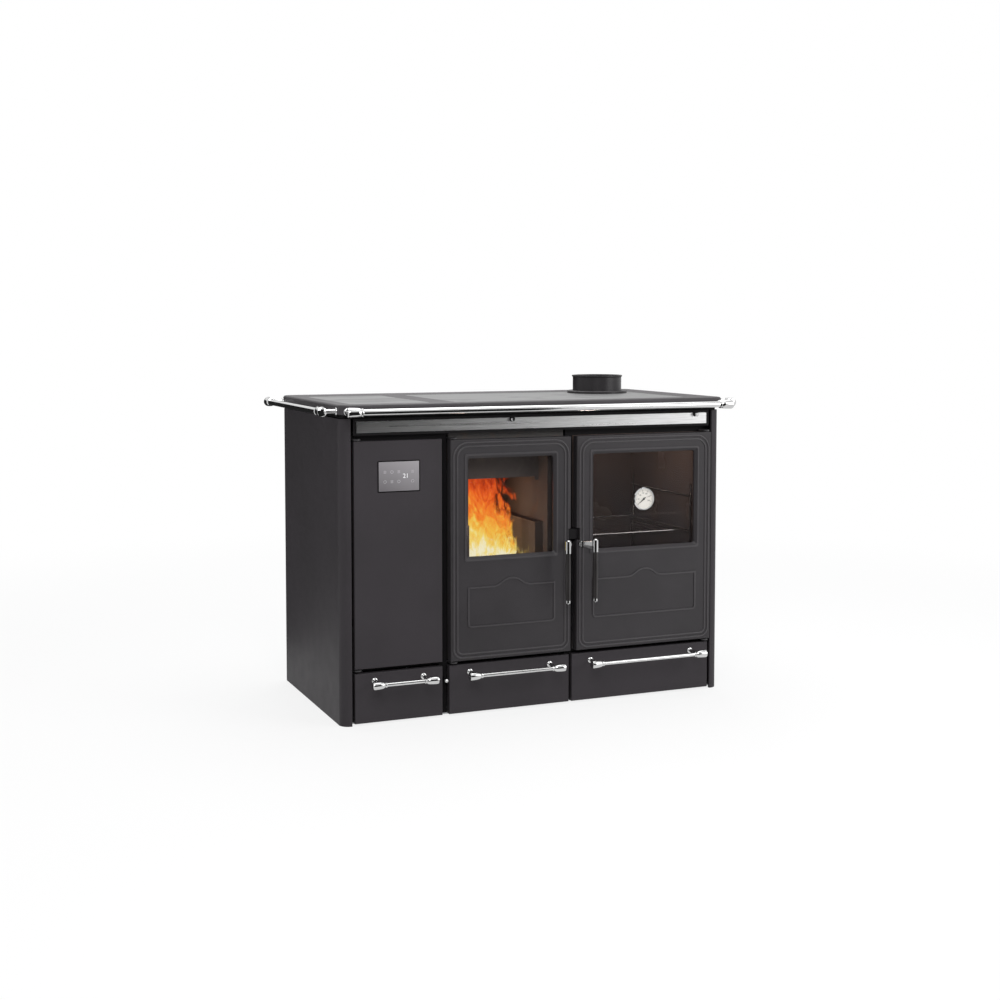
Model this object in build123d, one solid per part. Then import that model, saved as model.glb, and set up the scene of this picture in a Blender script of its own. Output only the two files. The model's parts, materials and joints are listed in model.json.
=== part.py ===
from build123d import *
import math
import os

# A wood-burning cooker with a boiler: casing, hot plate, firebox with its water jacket,
# oven, technical compartment, three drawers and chromed guard rails.
# All sizes are in millimetres. +Z is up and the front faces -Y.
# The origin is on the floor, below the middle of the casing.

# Casing
CASING_DEPTH = 580.0
SHEET = 2.5
CASING_CORNER = 27.0
CASING_BACK_CORNER = 5.0
PANEL_RETURN = 29.0
PANEL_LIP = 8.0
BASE_SHEET = 4.0

# Front openings, from left to right
SIDE_GAP = 8.0
TECH_DOOR_WIDTH = 249.0
COLUMN_GAP = 20.0
FIRE_DOOR_WIDTH = 361.0
DOOR_GAP = 18.0
OVEN_DOOR_WIDTH = 433.0
DRAWER_GAP = 9.0

# Heights, from the floor up
DRAWER_FLOOR_GAP = 5.0
DRAWER_HEIGHT = 135.0
DRAWER_DOOR_GAP = 12.0
CAST_DOOR_HEIGHT = 607.0
TECH_DOOR_HEIGHT = 610.0
FASCIA_GAP = 15.0
FASCIA_HEIGHT = 45.0
TOP_RECESS = 12.0
WORKTOP_THICKNESS = 26.0

# Inner frame
UPRIGHT_SETBACK = 26.0
UPRIGHT_DEPTH = 20.0
UPRIGHT_LAP = 2.0
TUBE_WALL = 2.0
REAR_POST = 20.0
SHELF_SHEET = 3.0
SHELF_DOOR_GAP = 1.0
HEADER_HEIGHT = 26.0
CROSSBAR_HEIGHT = 9.5
PARTITION_SHEET = 2.5
TOP_FRAME_WIDTH = 25.0
TOP_FRAME_INSET = 12.5
TOP_FRAME_FRONT_INSET = 10.0

# Levelling screws
LEVEL_SCREW_RADIUS = 6.0
LEVEL_SCREW_LENGTH = 42.0
LEVEL_NUT_RADIUS = 11.0
LEVEL_NUT_HEIGHT = 10.0
LEVEL_SCREW_SIDE = 25.0
LEVEL_SCREW_END = 75.0

# Fascia below the worktop, and the brushed band on it
FASCIA_DEPTH = 22.0
BAND_SHEET = 2.0
BAND_HEIGHT = 31.0
BAND_BOTTOM_MARGIN = 7.0
BAND_END_MARGIN = 9.0
BAND_NOTCH = 14.0
CONTROL_ROD_RADIUS = 3.5
CONTROL_HOLE_RADIUS = 4.5
CONTROL_KNOB_RADIUS = 6.0
CONTROL_KNOB_LENGTH = 16.0
CONTROL_KNOB_FACE = 6.0
CONTROL_KNOB_NECK = 3.0
CONTROL_KNOB_PROUD = 14.0
SMOKE_ROD_X = -86.0
AIR_ROD_X = 494.0
CONTROL_ROD_DROP = 11.0
SMOKE_ROD_LENGTH = 150.0
AIR_ROD_LENGTH = 120.0
PRIMARY_ROD_Z = 100.0
PRIMARY_ROD_LENGTH = 90.0
PRIMARY_KNOB_RADIUS = 6.0

# Worktop
WORKTOP_SIDE_OVERHANG = 4.0
WORKTOP_FRONT_OVERHANG = 20.0
WORKTOP_BACK_OVERHANG = 19.0
WORKTOP_CORNER = 32.0
WORKTOP_EDGE_ROUND = 7.0
WORKTOP_SKIRT = 12.0
WORKTOP_DECK = 16.0
PLATE_THICKNESS = 8.0
PLATE_LEDGE = 10.0
PLATE_CLEARANCE = 1.0
PLATE_CORNER = 14.0
PLATE_FRONT_MARGIN = 46.0
PLATE_BACK_MARGIN = 140.0
WARM_PLATE_MARGIN = 41.0
WARM_PLATE_WIDTH = 228.0
PLATE_SPACING = 70.0
COOK_PLATE_MARGIN = 106.0

# Flue collar
FLUE_RADIUS = 75.0
FLUE_WALL = 5.0
FLUE_HEIGHT = 55.0
FLUE_FLANGE_RADIUS = 92.0
FLUE_FLANGE_THICKNESS = 8.0
FLUE_RIM = 2.5
FLUE_RIM_HEIGHT = 6.0
FLUE_X = 362.0
FLUE_BACK_MARGIN = 224.0
FLUE_HOLE_GAP = 6.0

# Guard rails
RAIL_RADIUS = 9.0
RAIL_CUP_RADIUS = 13.5
RAIL_CUP_LENGTH = 40.0
RAIL_DROP = 18.0
FRONT_RAIL_REACH = 66.0
FRONT_RAIL_HALF = 578.0
SIDE_RAIL_OUT = 45.5
SIDE_RAIL_FRONT_INSET = 6.0
SIDE_RAIL_BACK_OUT = 12.0
RAIL_POST_RADIUS = 6.0
RAIL_ROSETTE_RADIUS = 10.0
RAIL_ROSETTE_THICKNESS = 3.0
RAIL_SOCKET_GAP = 0.1

# Cast doors
CAST_DOOR_PROUD = 12.0
CAST_DOOR_THICKNESS = 24.0
CAST_DOOR_PLATE = 12.0
CAST_DOOR_RIM = 24.0
CAST_DOOR_EDGE_ROUND = 3.0
BEAD_MARGIN = 6.0
BEAD_WIDTH = 5.0
BEAD_SPACING = 10.5
BEAD_HEIGHT = 2.5
BEAD_ROUND = 2.0
BEAD_TOP_CORNER = 44.0
BEAD_BOTTOM_CORNER = 28.0
WINDOW_TOP_MARGIN = 52.0
WINDOW_SIDE_MARGIN = 53.0
WINDOW_HEIGHT = 270.0
WINDOW_CORNER = 6.0
WINDOW_BEVEL = 12.0
WINDOW_BEVEL_DEPTH = 7.0
FRAME_PAD_HEIGHT = 2.0
GLASS_THICKNESS = 4.0
GLASS_LAP = 10.0
ORNAMENT_SIDE_MARGIN = 49.5
ORNAMENT_BOTTOM_MARGIN = 90.0
ORNAMENT_HEIGHT = 112.0
ORNAMENT_RISE = 21.0
ORNAMENT_SHOULDER = 60.0
ORNAMENT_BEAD = 4.5
ORNAMENT_CORNER = 12.0
GASKET_RADIUS = 6.0
GASKET_MARGIN = 33.0
GASKET_CORNER = 20.0

# Hinges
HINGE_INSET = 12.0
HINGE_PIN_RADIUS = 4.0
HINGE_PIN_CLEARANCE = 0.05
HINGE_PIN_LENGTH = 16.0
HINGE_PLATE = 4.0
HINGE_PLATE_WIDTH = 22.0
HINGE_WASHER_GAP = 2.0

# Lever handles of the cast doors
LEVER_INSET = 12.0
LEVER_Z = 456.0
LEVER_OFFSET = 21.0
LEVER_REACH = 51.0
LEVER_HUB_RADIUS = 9.0
LEVER_HUB_LENGTH = 7.0
LEVER_SPINDLE_RADIUS = 6.0
LEVER_SPINDLE_CLEARANCE = 0.05
LEVER_PAD_HEIGHT = 3.5
LEVER_PAD_GAP = 0.5
LEVER_ARM_WIDTH = 10.0
LEVER_ARM_ROOT_HEIGHT = 16.0
LEVER_ARM_TIP_HEIGHT = 32.0
SLEEVE_RADIUS = 8.5
SLEEVE_BOTTOM = 438.0
SLEEVE_TOP = 475.0
GRIP_RADIUS = 7.75
GRIP_BOTTOM = 307.0
GRIP_CORE_RADIUS = 4.0
GRIP_CORE_GAP = 0.1
LEVER_TIP_BOTTOM = 297.0
LEVER_TIP_RADIUS = 7.0
TONGUE_LENGTH = 18.0
TONGUE_HEIGHT = 9.0
TONGUE_THICKNESS = 4.0
TONGUE_GAP = 1.0

# Strike between the cast doors
STRIKE_BOTTOM = 469.0
STRIKE_TOP = 497.0
STRIKE_WIDTH = 30.0
STRIKE_SETBACK = 6.0
STRIKE_NOTCH_GAP = 3.0

# Technical compartment door
TECH_DOOR_THICKNESS = 18.0
TECH_DOOR_SHEET = 2.0
TECH_DOOR_EDGE_ROUND = 2.0
TECH_HINGE_BLOCK = 20.0
TECH_HINGE_INSET = 10.0
DISPLAY_WIDTH = 119.0
DISPLAY_HEIGHT = 84.0
DISPLAY_LEFT_MARGIN = 66.0
DISPLAY_TOP_MARGIN = 54.0
DISPLAY_PROUD = 1.5
DISPLAY_LAP = 5.0
DISPLAY_CASE_DEPTH = 12.0
DISPLAY_CASE_GAP = 0.5
DISPLAY_CORNER = 3.0

# Drawers
DRAWER_FRONT_THICKNESS = 18.0
DRAWER_SHEET = 2.0
DRAWER_EDGE_ROUND = 2.0
TRAY_SHEET = 1.5
TRAY_DEPTH = 470.0
TRAY_HEIGHT = 92.0
TRAY_LIFT = 9.0
RUNNER_WEB = 6.0
RUNNER_WEB_HEIGHT = 30.0
RUNNER_LIP = 10.0
RUNNER_LIP_THICKNESS = 3.0
RUNNER_SIDE_GAP = 1.0
RUNNER_TRAY_GAP = 0.3
DRAWER_RAIL_Z = 118.0
DRAWER_RAIL_REACH = 54.0
DRAWER_RAIL_RADIUS = 5.5
DRAWER_CUP_RADIUS = 11.5
DRAWER_CUP_LENGTH = 36.0
DRAWER_CUP_NECK = 8.0
DRAWER_POST_RADIUS = 5.0
DRAWER_ROSETTE_RADIUS = 9.0
DRAWER_ROSETTE_THICKNESS = 3.0
LEFT_HANDLE = 185.0
MIDDLE_HANDLE = 287.0
RIGHT_HANDLE = 370.0

# Boiler and firebox
JACKET_SIDE_GAP = 6.0
JACKET_BACK_GAP = 54.0
JACKET_TOP_GAP = 20.0
JACKET_SHEET = 5.0
JACKET_WALL = 48.0
JACKET_BACK_WALL = 46.0
JACKET_FLOOR = 14.0
JACKET_ROOF = 45.0
SMOKE_SLOT_WIDTH = 150.0
SMOKE_SLOT_DEPTH = 70.0
SMOKE_SLOT_BACK = 15.0
GRATE_Z = 252.0
GRATE_THICKNESS = 12.0
GRATE_GAP = 0.5
GRATE_FRONT_SETBACK = 14.0
GRATE_SLOTS = 9
GRATE_SLOT_WIDTH = 9.0
GRATE_SLOT_PITCH = 20.0
GRATE_SLOT_LENGTH = 210.0
LEDGE_WIDTH = 12.0
LEDGE_HEIGHT = 10.0
BRICK_THICKNESS = 25.0
BRICK_HEIGHT = 250.0
BRICK_FRONT_SETBACK = 30.0
BAFFLE_Z = 640.0
BAFFLE_THICKNESS = 10.0
BAFFLE_FRONT_SETBACK = 60.0
BAFFLE_BACK_GAP = 70.0
BAFFLE_LIP_HEIGHT = 66.0
BAFFLE_SIDE_GAP = 1.0
ASH_PAN_SIDE_GAP = 22.0
ASH_PAN_FRONT_SETBACK = 24.0
ASH_PAN_DEPTH = 380.0
ASH_PAN_HEIGHT = 62.0
ASH_PAN_SHEET = 1.5
ASH_PAN_PULL = 70.0
ASH_PAN_PULL_REACH = 12.0

# Oven
OVEN_SIDE_MARGIN = 20.0
OVEN_FLOOR_LIFT = 40.0
OVEN_ROOF_DROP = 60.0
OVEN_SHEET = 4.0
OVEN_FLANGE = 4.0
OVEN_FLANGE_GAP = 2.0
OVEN_FOOT = 30.0
RUNNER_WIRE = 2.5
RUNNER_LINK = 1.8
RUNNER_WALL_GAP = 0.5
RUNNER_LEVELS = 4
RUNNER_FIRST_LEVEL = 60.0
RUNNER_LEVEL_PITCH = 105.0
RUNNER_STAND_OFF = 10.0
RUNNER_END_MARGIN = 25.0
RACK_WIRE = 2.5
RACK_BAR = 1.5
RACK_BARS = 13
RACK_SIDE_GAP = 6.5
RACK_DEPTH = 350.0
RACK_BACK_GAP = 32.0
SHELF_GAP = 0.3
BAKING_TRAY_HEIGHT = 24.0
BAKING_TRAY_SHEET = 1.5
BAKING_TRAY_RIM = 9.0

# Oven thermometer
DIAL_RADIUS = 33.0
DIAL_DEPTH = 8.0
DIAL_RIM = 4.0
DIAL_Z = 572.0
DIAL_FACE_DEPTH = 4.0
DIAL_FACE_THICKNESS = 1.0
DIAL_STEM_RADIUS = 3.0
DIAL_STEM_LENGTH = 45.0
DIAL_STEM_GAP = 0.3
NEEDLE_THICKNESS = 0.8
NEEDLE_STAND_OFF = 1.0
NEEDLE_LENGTH = 21.0
NEEDLE_TAIL = 9.0
NEEDLE_WIDTH = 4.0
NEEDLE_PIN_RADIUS = 1.2
NEEDLE_PIN_CLEARANCE = 0.05
NEEDLE_HUB_RADIUS = 3.2
NEEDLE_REST_ANGLE = 130.0

# Technical compartment
VESSEL_RADIUS = 115.0
VESSEL_WIDTH = 90.0
VESSEL_DOME = 30.0
VESSEL_CROWN = 4.0
VESSEL_Y = 120.0
VESSEL_Z = 620.0
VESSEL_SIDE_GAP = 60.0
VESSEL_STEM_RADIUS = 9.0
PIPE_RADIUS = 14.0
PIPE_BEND = 28.0
PUMP_X = -420.0
PUMP_Y = 120.0
PUMP_Z = 345.0
PUMP_BODY_RADIUS = 48.0
PUMP_BODY_LENGTH = 62.0
PUMP_MOTOR_RADIUS = 38.0
PUMP_MOTOR_LENGTH = 58.0
PUMP_HALF_HEIGHT = 90.0
PUMP_FLANGE_RADIUS = 27.0
PUMP_FLANGE_THICKNESS = 12.0
RETURN_Z = 215.0
JACKET_RETURN_Z = 490.0
PARTITION_HOLE_GAP = 3.0
BOX_WIDTH = 52.0
BOX_DEPTH = 190.0
BOX_HEIGHT = 150.0
BOX_Y = -210.0
BOX_Z = 590.0
BOX_ROUND = 6.0

# Water connections and mains inlet at the back
NIPPLE_RADIUS = 16.6
NIPPLE_BORE = 13.5
NIPPLE_PROUD = 34.0
NIPPLE_HEX_RADIUS = 21.0
NIPPLE_HEX_LENGTH = 10.0
NIPPLE_HOLE_GAP = 2.0
NIPPLE_NECK_STEP = 1.0
FLOW_X = -91.0
FLOW_Z = 740.0
SMALL_NIPPLE_RADIUS = 10.4
SMALL_NIPPLE_BORE = 8.0
SMALL_NIPPLE_HEX_RADIUS = 14.0
DISCHARGE_X = -190.0
DISCHARGE_Z = 740.0
DISCHARGE_PITCH = 60.0
INLET_WIDTH = 60.0
INLET_HEIGHT = 32.0
INLET_DEPTH = 28.0
INLET_PROUD = 3.0
INLET_FLANGE = 8.0
INLET_X = -470.0
INLET_Z = 300.0
INLET_SOCKET_WIDTH = 24.0
INLET_SOCKET_HEIGHT = 16.5
INLET_SOCKET_DEPTH = 16.0

OVERCUT = 1.0

# Places that follow from the sizes above
CASING_WIDTH = (2 * (PANEL_RETURN + SIDE_GAP) + TECH_DOOR_WIDTH + COLUMN_GAP
                + FIRE_DOOR_WIDTH + DOOR_GAP + OVEN_DOOR_WIDTH)
HALF_WIDTH = CASING_WIDTH / 2
FRONT = -CASING_DEPTH / 2
BACK = CASING_DEPTH / 2

TECH_LEFT = -HALF_WIDTH + PANEL_RETURN + SIDE_GAP
TECH_RIGHT = TECH_LEFT + TECH_DOOR_WIDTH
FIRE_LEFT = TECH_RIGHT + COLUMN_GAP
FIRE_RIGHT = FIRE_LEFT + FIRE_DOOR_WIDTH
OVEN_LEFT = FIRE_RIGHT + DOOR_GAP
OVEN_RIGHT = OVEN_LEFT + OVEN_DOOR_WIDTH
DOOR_MIDDLE = (FIRE_RIGHT + OVEN_LEFT) / 2
COLUMN_MIDDLE = (TECH_RIGHT + FIRE_LEFT) / 2

DRAWER_BOTTOM = DRAWER_FLOOR_GAP
DRAWER_TOP = DRAWER_BOTTOM + DRAWER_HEIGHT
DOOR_BOTTOM = DRAWER_TOP + DRAWER_DOOR_GAP
CAST_DOOR_TOP = DOOR_BOTTOM + CAST_DOOR_HEIGHT
TECH_DOOR_TOP = DOOR_BOTTOM + TECH_DOOR_HEIGHT
FASCIA_BOTTOM = TECH_DOOR_TOP + FASCIA_GAP
CASING_TOP = FASCIA_BOTTOM + FASCIA_HEIGHT
WORKTOP_BOTTOM = CASING_TOP + TOP_RECESS
WORKTOP_TOP = WORKTOP_BOTTOM + WORKTOP_THICKNESS
DECK_BOTTOM = WORKTOP_TOP - WORKTOP_DECK
PLATE_BOTTOM = WORKTOP_TOP - PLATE_THICKNESS

PANEL_INSIDE = HALF_WIDTH - SHEET
BACK_PANEL_FRONT = BACK - 2 * SHEET
UPRIGHT_FRONT = FRONT + UPRIGHT_SETBACK
UPRIGHT_BACK = UPRIGHT_FRONT + UPRIGHT_DEPTH
REAR_POST_FRONT = BACK_PANEL_FRONT - REAR_POST
SHELF_TOP = DOOR_BOTTOM - SHELF_DOOR_GAP
SHELF_BOTTOM = SHELF_TOP - SHELF_SHEET

UPRIGHTS = [
    (TECH_LEFT - SIDE_GAP - UPRIGHT_LAP, TECH_LEFT + UPRIGHT_LAP),
    (TECH_RIGHT - UPRIGHT_LAP, FIRE_LEFT + UPRIGHT_LAP),
    (FIRE_RIGHT - UPRIGHT_LAP, OVEN_LEFT + UPRIGHT_LAP),
    (OVEN_RIGHT - UPRIGHT_LAP, OVEN_RIGHT + SIDE_GAP + UPRIGHT_LAP),
]
BAYS = [(left[1], right[0]) for left, right in zip(UPRIGHTS, UPRIGHTS[1:])]
TECH_BAY, FIRE_BAY, OVEN_BAY = BAYS
PARTITIONS = [COLUMN_MIDDLE, DOOR_MIDDLE]

WORKTOP_LEFT = -HALF_WIDTH - WORKTOP_SIDE_OVERHANG
WORKTOP_RIGHT = -WORKTOP_LEFT
WORKTOP_FRONT = FRONT - WORKTOP_FRONT_OVERHANG
WORKTOP_BACK = BACK + WORKTOP_BACK_OVERHANG
PLATE_FRONT = WORKTOP_FRONT + PLATE_FRONT_MARGIN
PLATE_BACK = WORKTOP_BACK - PLATE_BACK_MARGIN
WARM_PLATE = (WORKTOP_LEFT + WARM_PLATE_MARGIN,
              WORKTOP_LEFT + WARM_PLATE_MARGIN + WARM_PLATE_WIDTH)
COOK_PLATE = (WARM_PLATE[1] + PLATE_SPACING, WORKTOP_RIGHT - COOK_PLATE_MARGIN)
FLUE_Y = WORKTOP_BACK - FLUE_BACK_MARGIN

CAST_DOOR_FRONT = FRONT - CAST_DOOR_PROUD
CAST_DOOR_BACK = CAST_DOOR_FRONT + CAST_DOOR_THICKNESS
CAST_PLATE_BACK = CAST_DOOR_FRONT + CAST_DOOR_PLATE
FIRE_MIDDLE = (FIRE_LEFT + FIRE_RIGHT) / 2
OVEN_MIDDLE = (OVEN_LEFT + OVEN_RIGHT) / 2
CAST_HINGE_Y = CAST_DOOR_FRONT + CAST_DOOR_THICKNESS / 2
TECH_HINGE_Y = FRONT + TECH_DOOR_THICKNESS / 2
WINDOW_TOP = CAST_DOOR_TOP - WINDOW_TOP_MARGIN
WINDOW_BOTTOM = WINDOW_TOP - WINDOW_HEIGHT

JACKET_LEFT = FIRE_BAY[0] + JACKET_SIDE_GAP
JACKET_RIGHT = FIRE_BAY[1] - JACKET_SIDE_GAP
JACKET_BACK = BACK - JACKET_BACK_GAP
JACKET_TOP = CASING_TOP - JACKET_TOP_GAP
CAVITY_LEFT = JACKET_LEFT + JACKET_WALL
CAVITY_RIGHT = JACKET_RIGHT - JACKET_WALL
CAVITY_BACK = JACKET_BACK - JACKET_BACK_WALL
CAVITY_BOTTOM = SHELF_TOP + JACKET_FLOOR
CAVITY_TOP = JACKET_TOP - JACKET_ROOF
GRATE_TOP = GRATE_Z + GRATE_THICKNESS

LINER_LEFT = OVEN_BAY[0] + OVEN_SIDE_MARGIN
LINER_RIGHT = OVEN_BAY[1] - OVEN_SIDE_MARGIN
LINER_BOTTOM = SHELF_TOP + OVEN_FLOOR_LIFT
LINER_TOP = CASING_TOP - OVEN_ROOF_DROP
SHELF_START = UPRIGHT_FRONT + OVEN_FLANGE + RUNNER_END_MARGIN
LINER_BACK = SHELF_START + RACK_DEPTH + RACK_BACK_GAP + OVEN_SHEET
RUNNER_LEVEL_HEIGHTS = [
    LINER_BOTTOM + OVEN_SHEET + RUNNER_FIRST_LEVEL + RUNNER_LEVEL_PITCH * step
    for step in range(RUNNER_LEVELS)
]


def block(x, y, z):
    """A rectangular block between two limits on each axis."""
    size = [high - low for low, high in (x, y, z)]
    middle = [(low + high) / 2 for low, high in (x, y, z)]
    return Pos(*middle) * Box(*size)


def round_bar(start, end, radius):
    """A round bar between the middles of its two ends."""
    axis = Vector(*end) - Vector(*start)
    plane = Plane(origin=start, z_dir=axis)
    return extrude(plane * Circle(radius), axis.length)


def front_plane(y):
    """An upright plane at y that faces the front: its own x and y run along X and Z."""
    return Plane(origin=(0, y, 0), x_dir=(1, 0, 0), z_dir=(0, -1, 0))


def outline(x, z, corner=0.0):
    """A rectangle between limits, square or with rounded corners."""
    place = Pos((x[0] + x[1]) / 2, (z[0] + z[1]) / 2)
    width, height = x[1] - x[0], z[1] - z[0]
    if corner > 0:
        return place * RectangleRounded(width, height, corner)
    return place * Rectangle(width, height)


def grow(limits, amount):
    """Limits moved outwards by an amount, or inwards if it is negative."""
    return (limits[0] - amount, limits[1] + amount)


def turned(points, start, direction):
    """A body of revolution from (radius, distance) points along a direction."""
    axis = Vector(*direction)
    side = Vector(0, 0, 1) if abs(axis.Z) < 0.5 else Vector(1, 0, 0)
    plane = Plane(origin=start, x_dir=side, z_dir=side.cross(axis))
    section = make_face(Polyline(*points, close=True))
    return revolve(plane * section, Axis(start, direction))


def hollow_bar(x, y, z, wall):
    """An upright square tube."""
    outer = block(x, y, z)
    return outer - block(grow(x, -wall), grow(y, -wall), grow(z, OVERCUT))


def open_tray(x, y, z, sheet):
    """A sheet tray that is open at the top."""
    inside = block(grow(x, -sheet), grow(y, -sheet), (z[0] + sheet, z[1] + OVERCUT))
    return block(x, y, z) - inside


def folded_front(x, z, depth, sheet, edge_round):
    """A sheet front with its edges folded back, open behind."""
    shell = block(x, (FRONT, FRONT + depth), z)
    shell = fillet(shell.faces().sort_by(Axis.Y)[0].edges(), edge_round)
    inside = block(grow(x, -sheet), (FRONT + sheet, FRONT + depth + OVERCUT), grow(z, -sheet))
    return shell - inside


# Casing and inner frame

def base_plate():
    """The floor sheet, with a nut welded on above each levelling screw."""
    plate = block((-PANEL_INSIDE, PANEL_INSIDE), (FRONT + CASING_CORNER, BACK_PANEL_FRONT),
                  (0, BASE_SHEET))
    for x, y in levelling_places():
        nut = RegularPolygon(LEVEL_NUT_RADIUS, 6)
        plate += Pos(x, y, BASE_SHEET) * extrude(nut, LEVEL_NUT_HEIGHT)
    for x, y in levelling_places():
        plate -= Pos(x, y, 0) * Cylinder(LEVEL_SCREW_RADIUS, 4 * LEVEL_NUT_HEIGHT)
    return plate


def levelling_places():
    x = HALF_WIDTH - LEVEL_SCREW_SIDE
    return [(side * x, y) for side in (-1, 1)
            for y in (FRONT + LEVEL_SCREW_END, BACK - LEVEL_SCREW_END)]


def levelling_screws():
    """Four levelling screws, wound in until their ends are level with the floor sheet."""
    screw = Cylinder(LEVEL_SCREW_RADIUS, LEVEL_SCREW_LENGTH,
                     align=(Align.CENTER, Align.CENTER, Align.MIN))
    screw = chamfer(screw.edges().group_by(Axis.Z)[-1], LEVEL_SCREW_RADIUS / 4)
    return Compound([Pos(x, y, 0) * screw for x, y in levelling_places()])


def casing_section(inset):
    """The right side panel in plan, drawn in from its outer faces by an inset."""
    inner_edge = HALF_WIDTH - PANEL_RETURN - (OVERCUT if inset else 0)
    section = outline((inner_edge, HALF_WIDTH - inset), (FRONT + inset, BACK - inset))
    corners = section.vertices().group_by(Axis.X)[-1].sort_by(Axis.Y)
    section = fillet(corners[0], CASING_CORNER - inset)
    corners = section.vertices().sort_by(Axis.Y)[-2:].sort_by(Axis.X)
    return fillet(corners[-1], CASING_BACK_CORNER - inset)


def side_panel(side):
    """A side panel: one sheet bent round the front corner, with a return at front and back."""
    section = casing_section(0) - casing_section(SHEET)
    lip_edge = HALF_WIDTH - PANEL_RETURN
    section += outline((lip_edge, lip_edge + SHEET), (FRONT, FRONT + PANEL_LIP))
    panel = extrude(section, CASING_TOP)
    return panel if side > 0 else mirror(panel, about=Plane.YZ)


def back_panel():
    """The back sheet, with holes for the water connections and the mains inlet."""
    half = PANEL_INSIDE - CASING_BACK_CORNER
    sheet = block((-half, half), (BACK_PANEL_FRONT, BACK - SHEET), (0, CASING_TOP))
    for x, z, radius in nipple_places():
        hole = round_bar((x, BACK_PANEL_FRONT - OVERCUT, z), (x, BACK, z),
                         radius + NIPPLE_HOLE_GAP)
        sheet -= hole
    inlet = block((INLET_X - INLET_WIDTH / 2, INLET_X + INLET_WIDTH / 2),
                  (BACK_PANEL_FRONT - OVERCUT, BACK),
                  (INLET_Z - INLET_HEIGHT / 2, INLET_Z + INLET_HEIGHT / 2))
    return sheet - inlet


def casing_frame():
    """The welded frame: uprights, crossbars and headers in front, posts behind, top bars."""
    y = (UPRIGHT_FRONT, UPRIGHT_BACK)
    crossbars = [block(x, y, (SHELF_TOP - CROSSBAR_HEIGHT, SHELF_TOP)) for x in BAYS]
    header_z = (CAST_DOOR_TOP, CAST_DOOR_TOP + HEADER_HEIGHT)
    headers = [block(x, y, header_z) for x in (TECH_BAY, OVEN_BAY)]
    return Compound(frame_uprights() + crossbars + headers + top_bars())


def frame_uprights():
    """Four square tubes behind the gaps of the front, and two posts at the back."""
    bars = [hollow_bar(x, (UPRIGHT_FRONT, UPRIGHT_BACK), (BASE_SHEET, CASING_TOP), TUBE_WALL)
            for x in UPRIGHTS]
    bars[1] -= primary_rod_hole()
    for side in (-1, 1):
        x = sorted((side * PANEL_INSIDE, side * (PANEL_INSIDE - REAR_POST)))
        y = (REAR_POST_FRONT, BACK_PANEL_FRONT)
        bars.append(hollow_bar(x, y, (BASE_SHEET, CASING_TOP), TUBE_WALL))
    return bars


def primary_rod_hole():
    """The room that the primary air rod needs behind the front."""
    end = UPRIGHT_FRONT + PRIMARY_ROD_LENGTH + CONTROL_HOLE_RADIUS
    return round_bar((COLUMN_MIDDLE, UPRIGHT_FRONT - OVERCUT, PRIMARY_ROD_Z),
                     (COLUMN_MIDDLE, end, PRIMARY_ROD_Z), CONTROL_HOLE_RADIUS)


def inner_partitions():
    """The shelf that boiler and oven stand on, and the sheets between the bays."""
    shelf = block((-PANEL_INSIDE, PANEL_INSIDE), (UPRIGHT_BACK, REAR_POST_FRONT),
                  (SHELF_BOTTOM, SHELF_TOP))
    sheets = []
    for middle in PARTITIONS:
        x = (middle - PARTITION_SHEET / 2, middle + PARTITION_SHEET / 2)
        for z in ((BASE_SHEET, SHELF_BOTTOM), (SHELF_TOP, CASING_TOP)):
            sheets.append(block(x, (UPRIGHT_BACK, REAR_POST_FRONT), z))
    hole = round_bar((TECH_BAY[1], PUMP_Y, JACKET_RETURN_Z),
                     (FIRE_BAY[0], PUMP_Y, JACKET_RETURN_Z), PIPE_RADIUS + PARTITION_HOLE_GAP)
    sheets[1] -= hole
    sheets[0] -= primary_rod_hole()
    return Compound([shelf] + sheets)


def top_bars():
    """Four flat bars on top of the casing that carry the worktop."""
    x = (-HALF_WIDTH + TOP_FRAME_INSET, HALF_WIDTH - TOP_FRAME_INSET)
    y = (FRONT + TOP_FRAME_FRONT_INSET, BACK - TOP_FRAME_INSET)
    z = (CASING_TOP, DECK_BOTTOM)
    between = (y[0] + TOP_FRAME_WIDTH, y[1] - TOP_FRAME_WIDTH)
    return [
        block(x, (y[0], between[0]), z),
        block(x, (between[1], y[1]), z),
        block((x[0], x[0] + TOP_FRAME_WIDTH), between, z),
        block((x[1] - TOP_FRAME_WIDTH, x[1]), between, z),
    ]


def control_rod_height():
    return CASING_TOP - CONTROL_ROD_DROP


def fascia():
    """A black channel below the worktop, drilled for the two control rods."""
    z = (FASCIA_BOTTOM, CASING_TOP)
    front = UPRIGHT_FRONT - FASCIA_DEPTH
    channel = block((TECH_LEFT, OVEN_RIGHT), (front, UPRIGHT_FRONT), z)
    channel -= block((TECH_LEFT - OVERCUT, OVEN_RIGHT + OVERCUT),
                     (front + SHEET, UPRIGHT_FRONT + OVERCUT), grow(z, -SHEET))
    for x in (SMOKE_ROD_X, AIR_ROD_X):
        channel -= round_bar((x, front - OVERCUT, control_rod_height()),
                             (x, front + SHEET + OVERCUT, control_rod_height()),
                             CONTROL_HOLE_RADIUS)
    return channel


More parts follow.
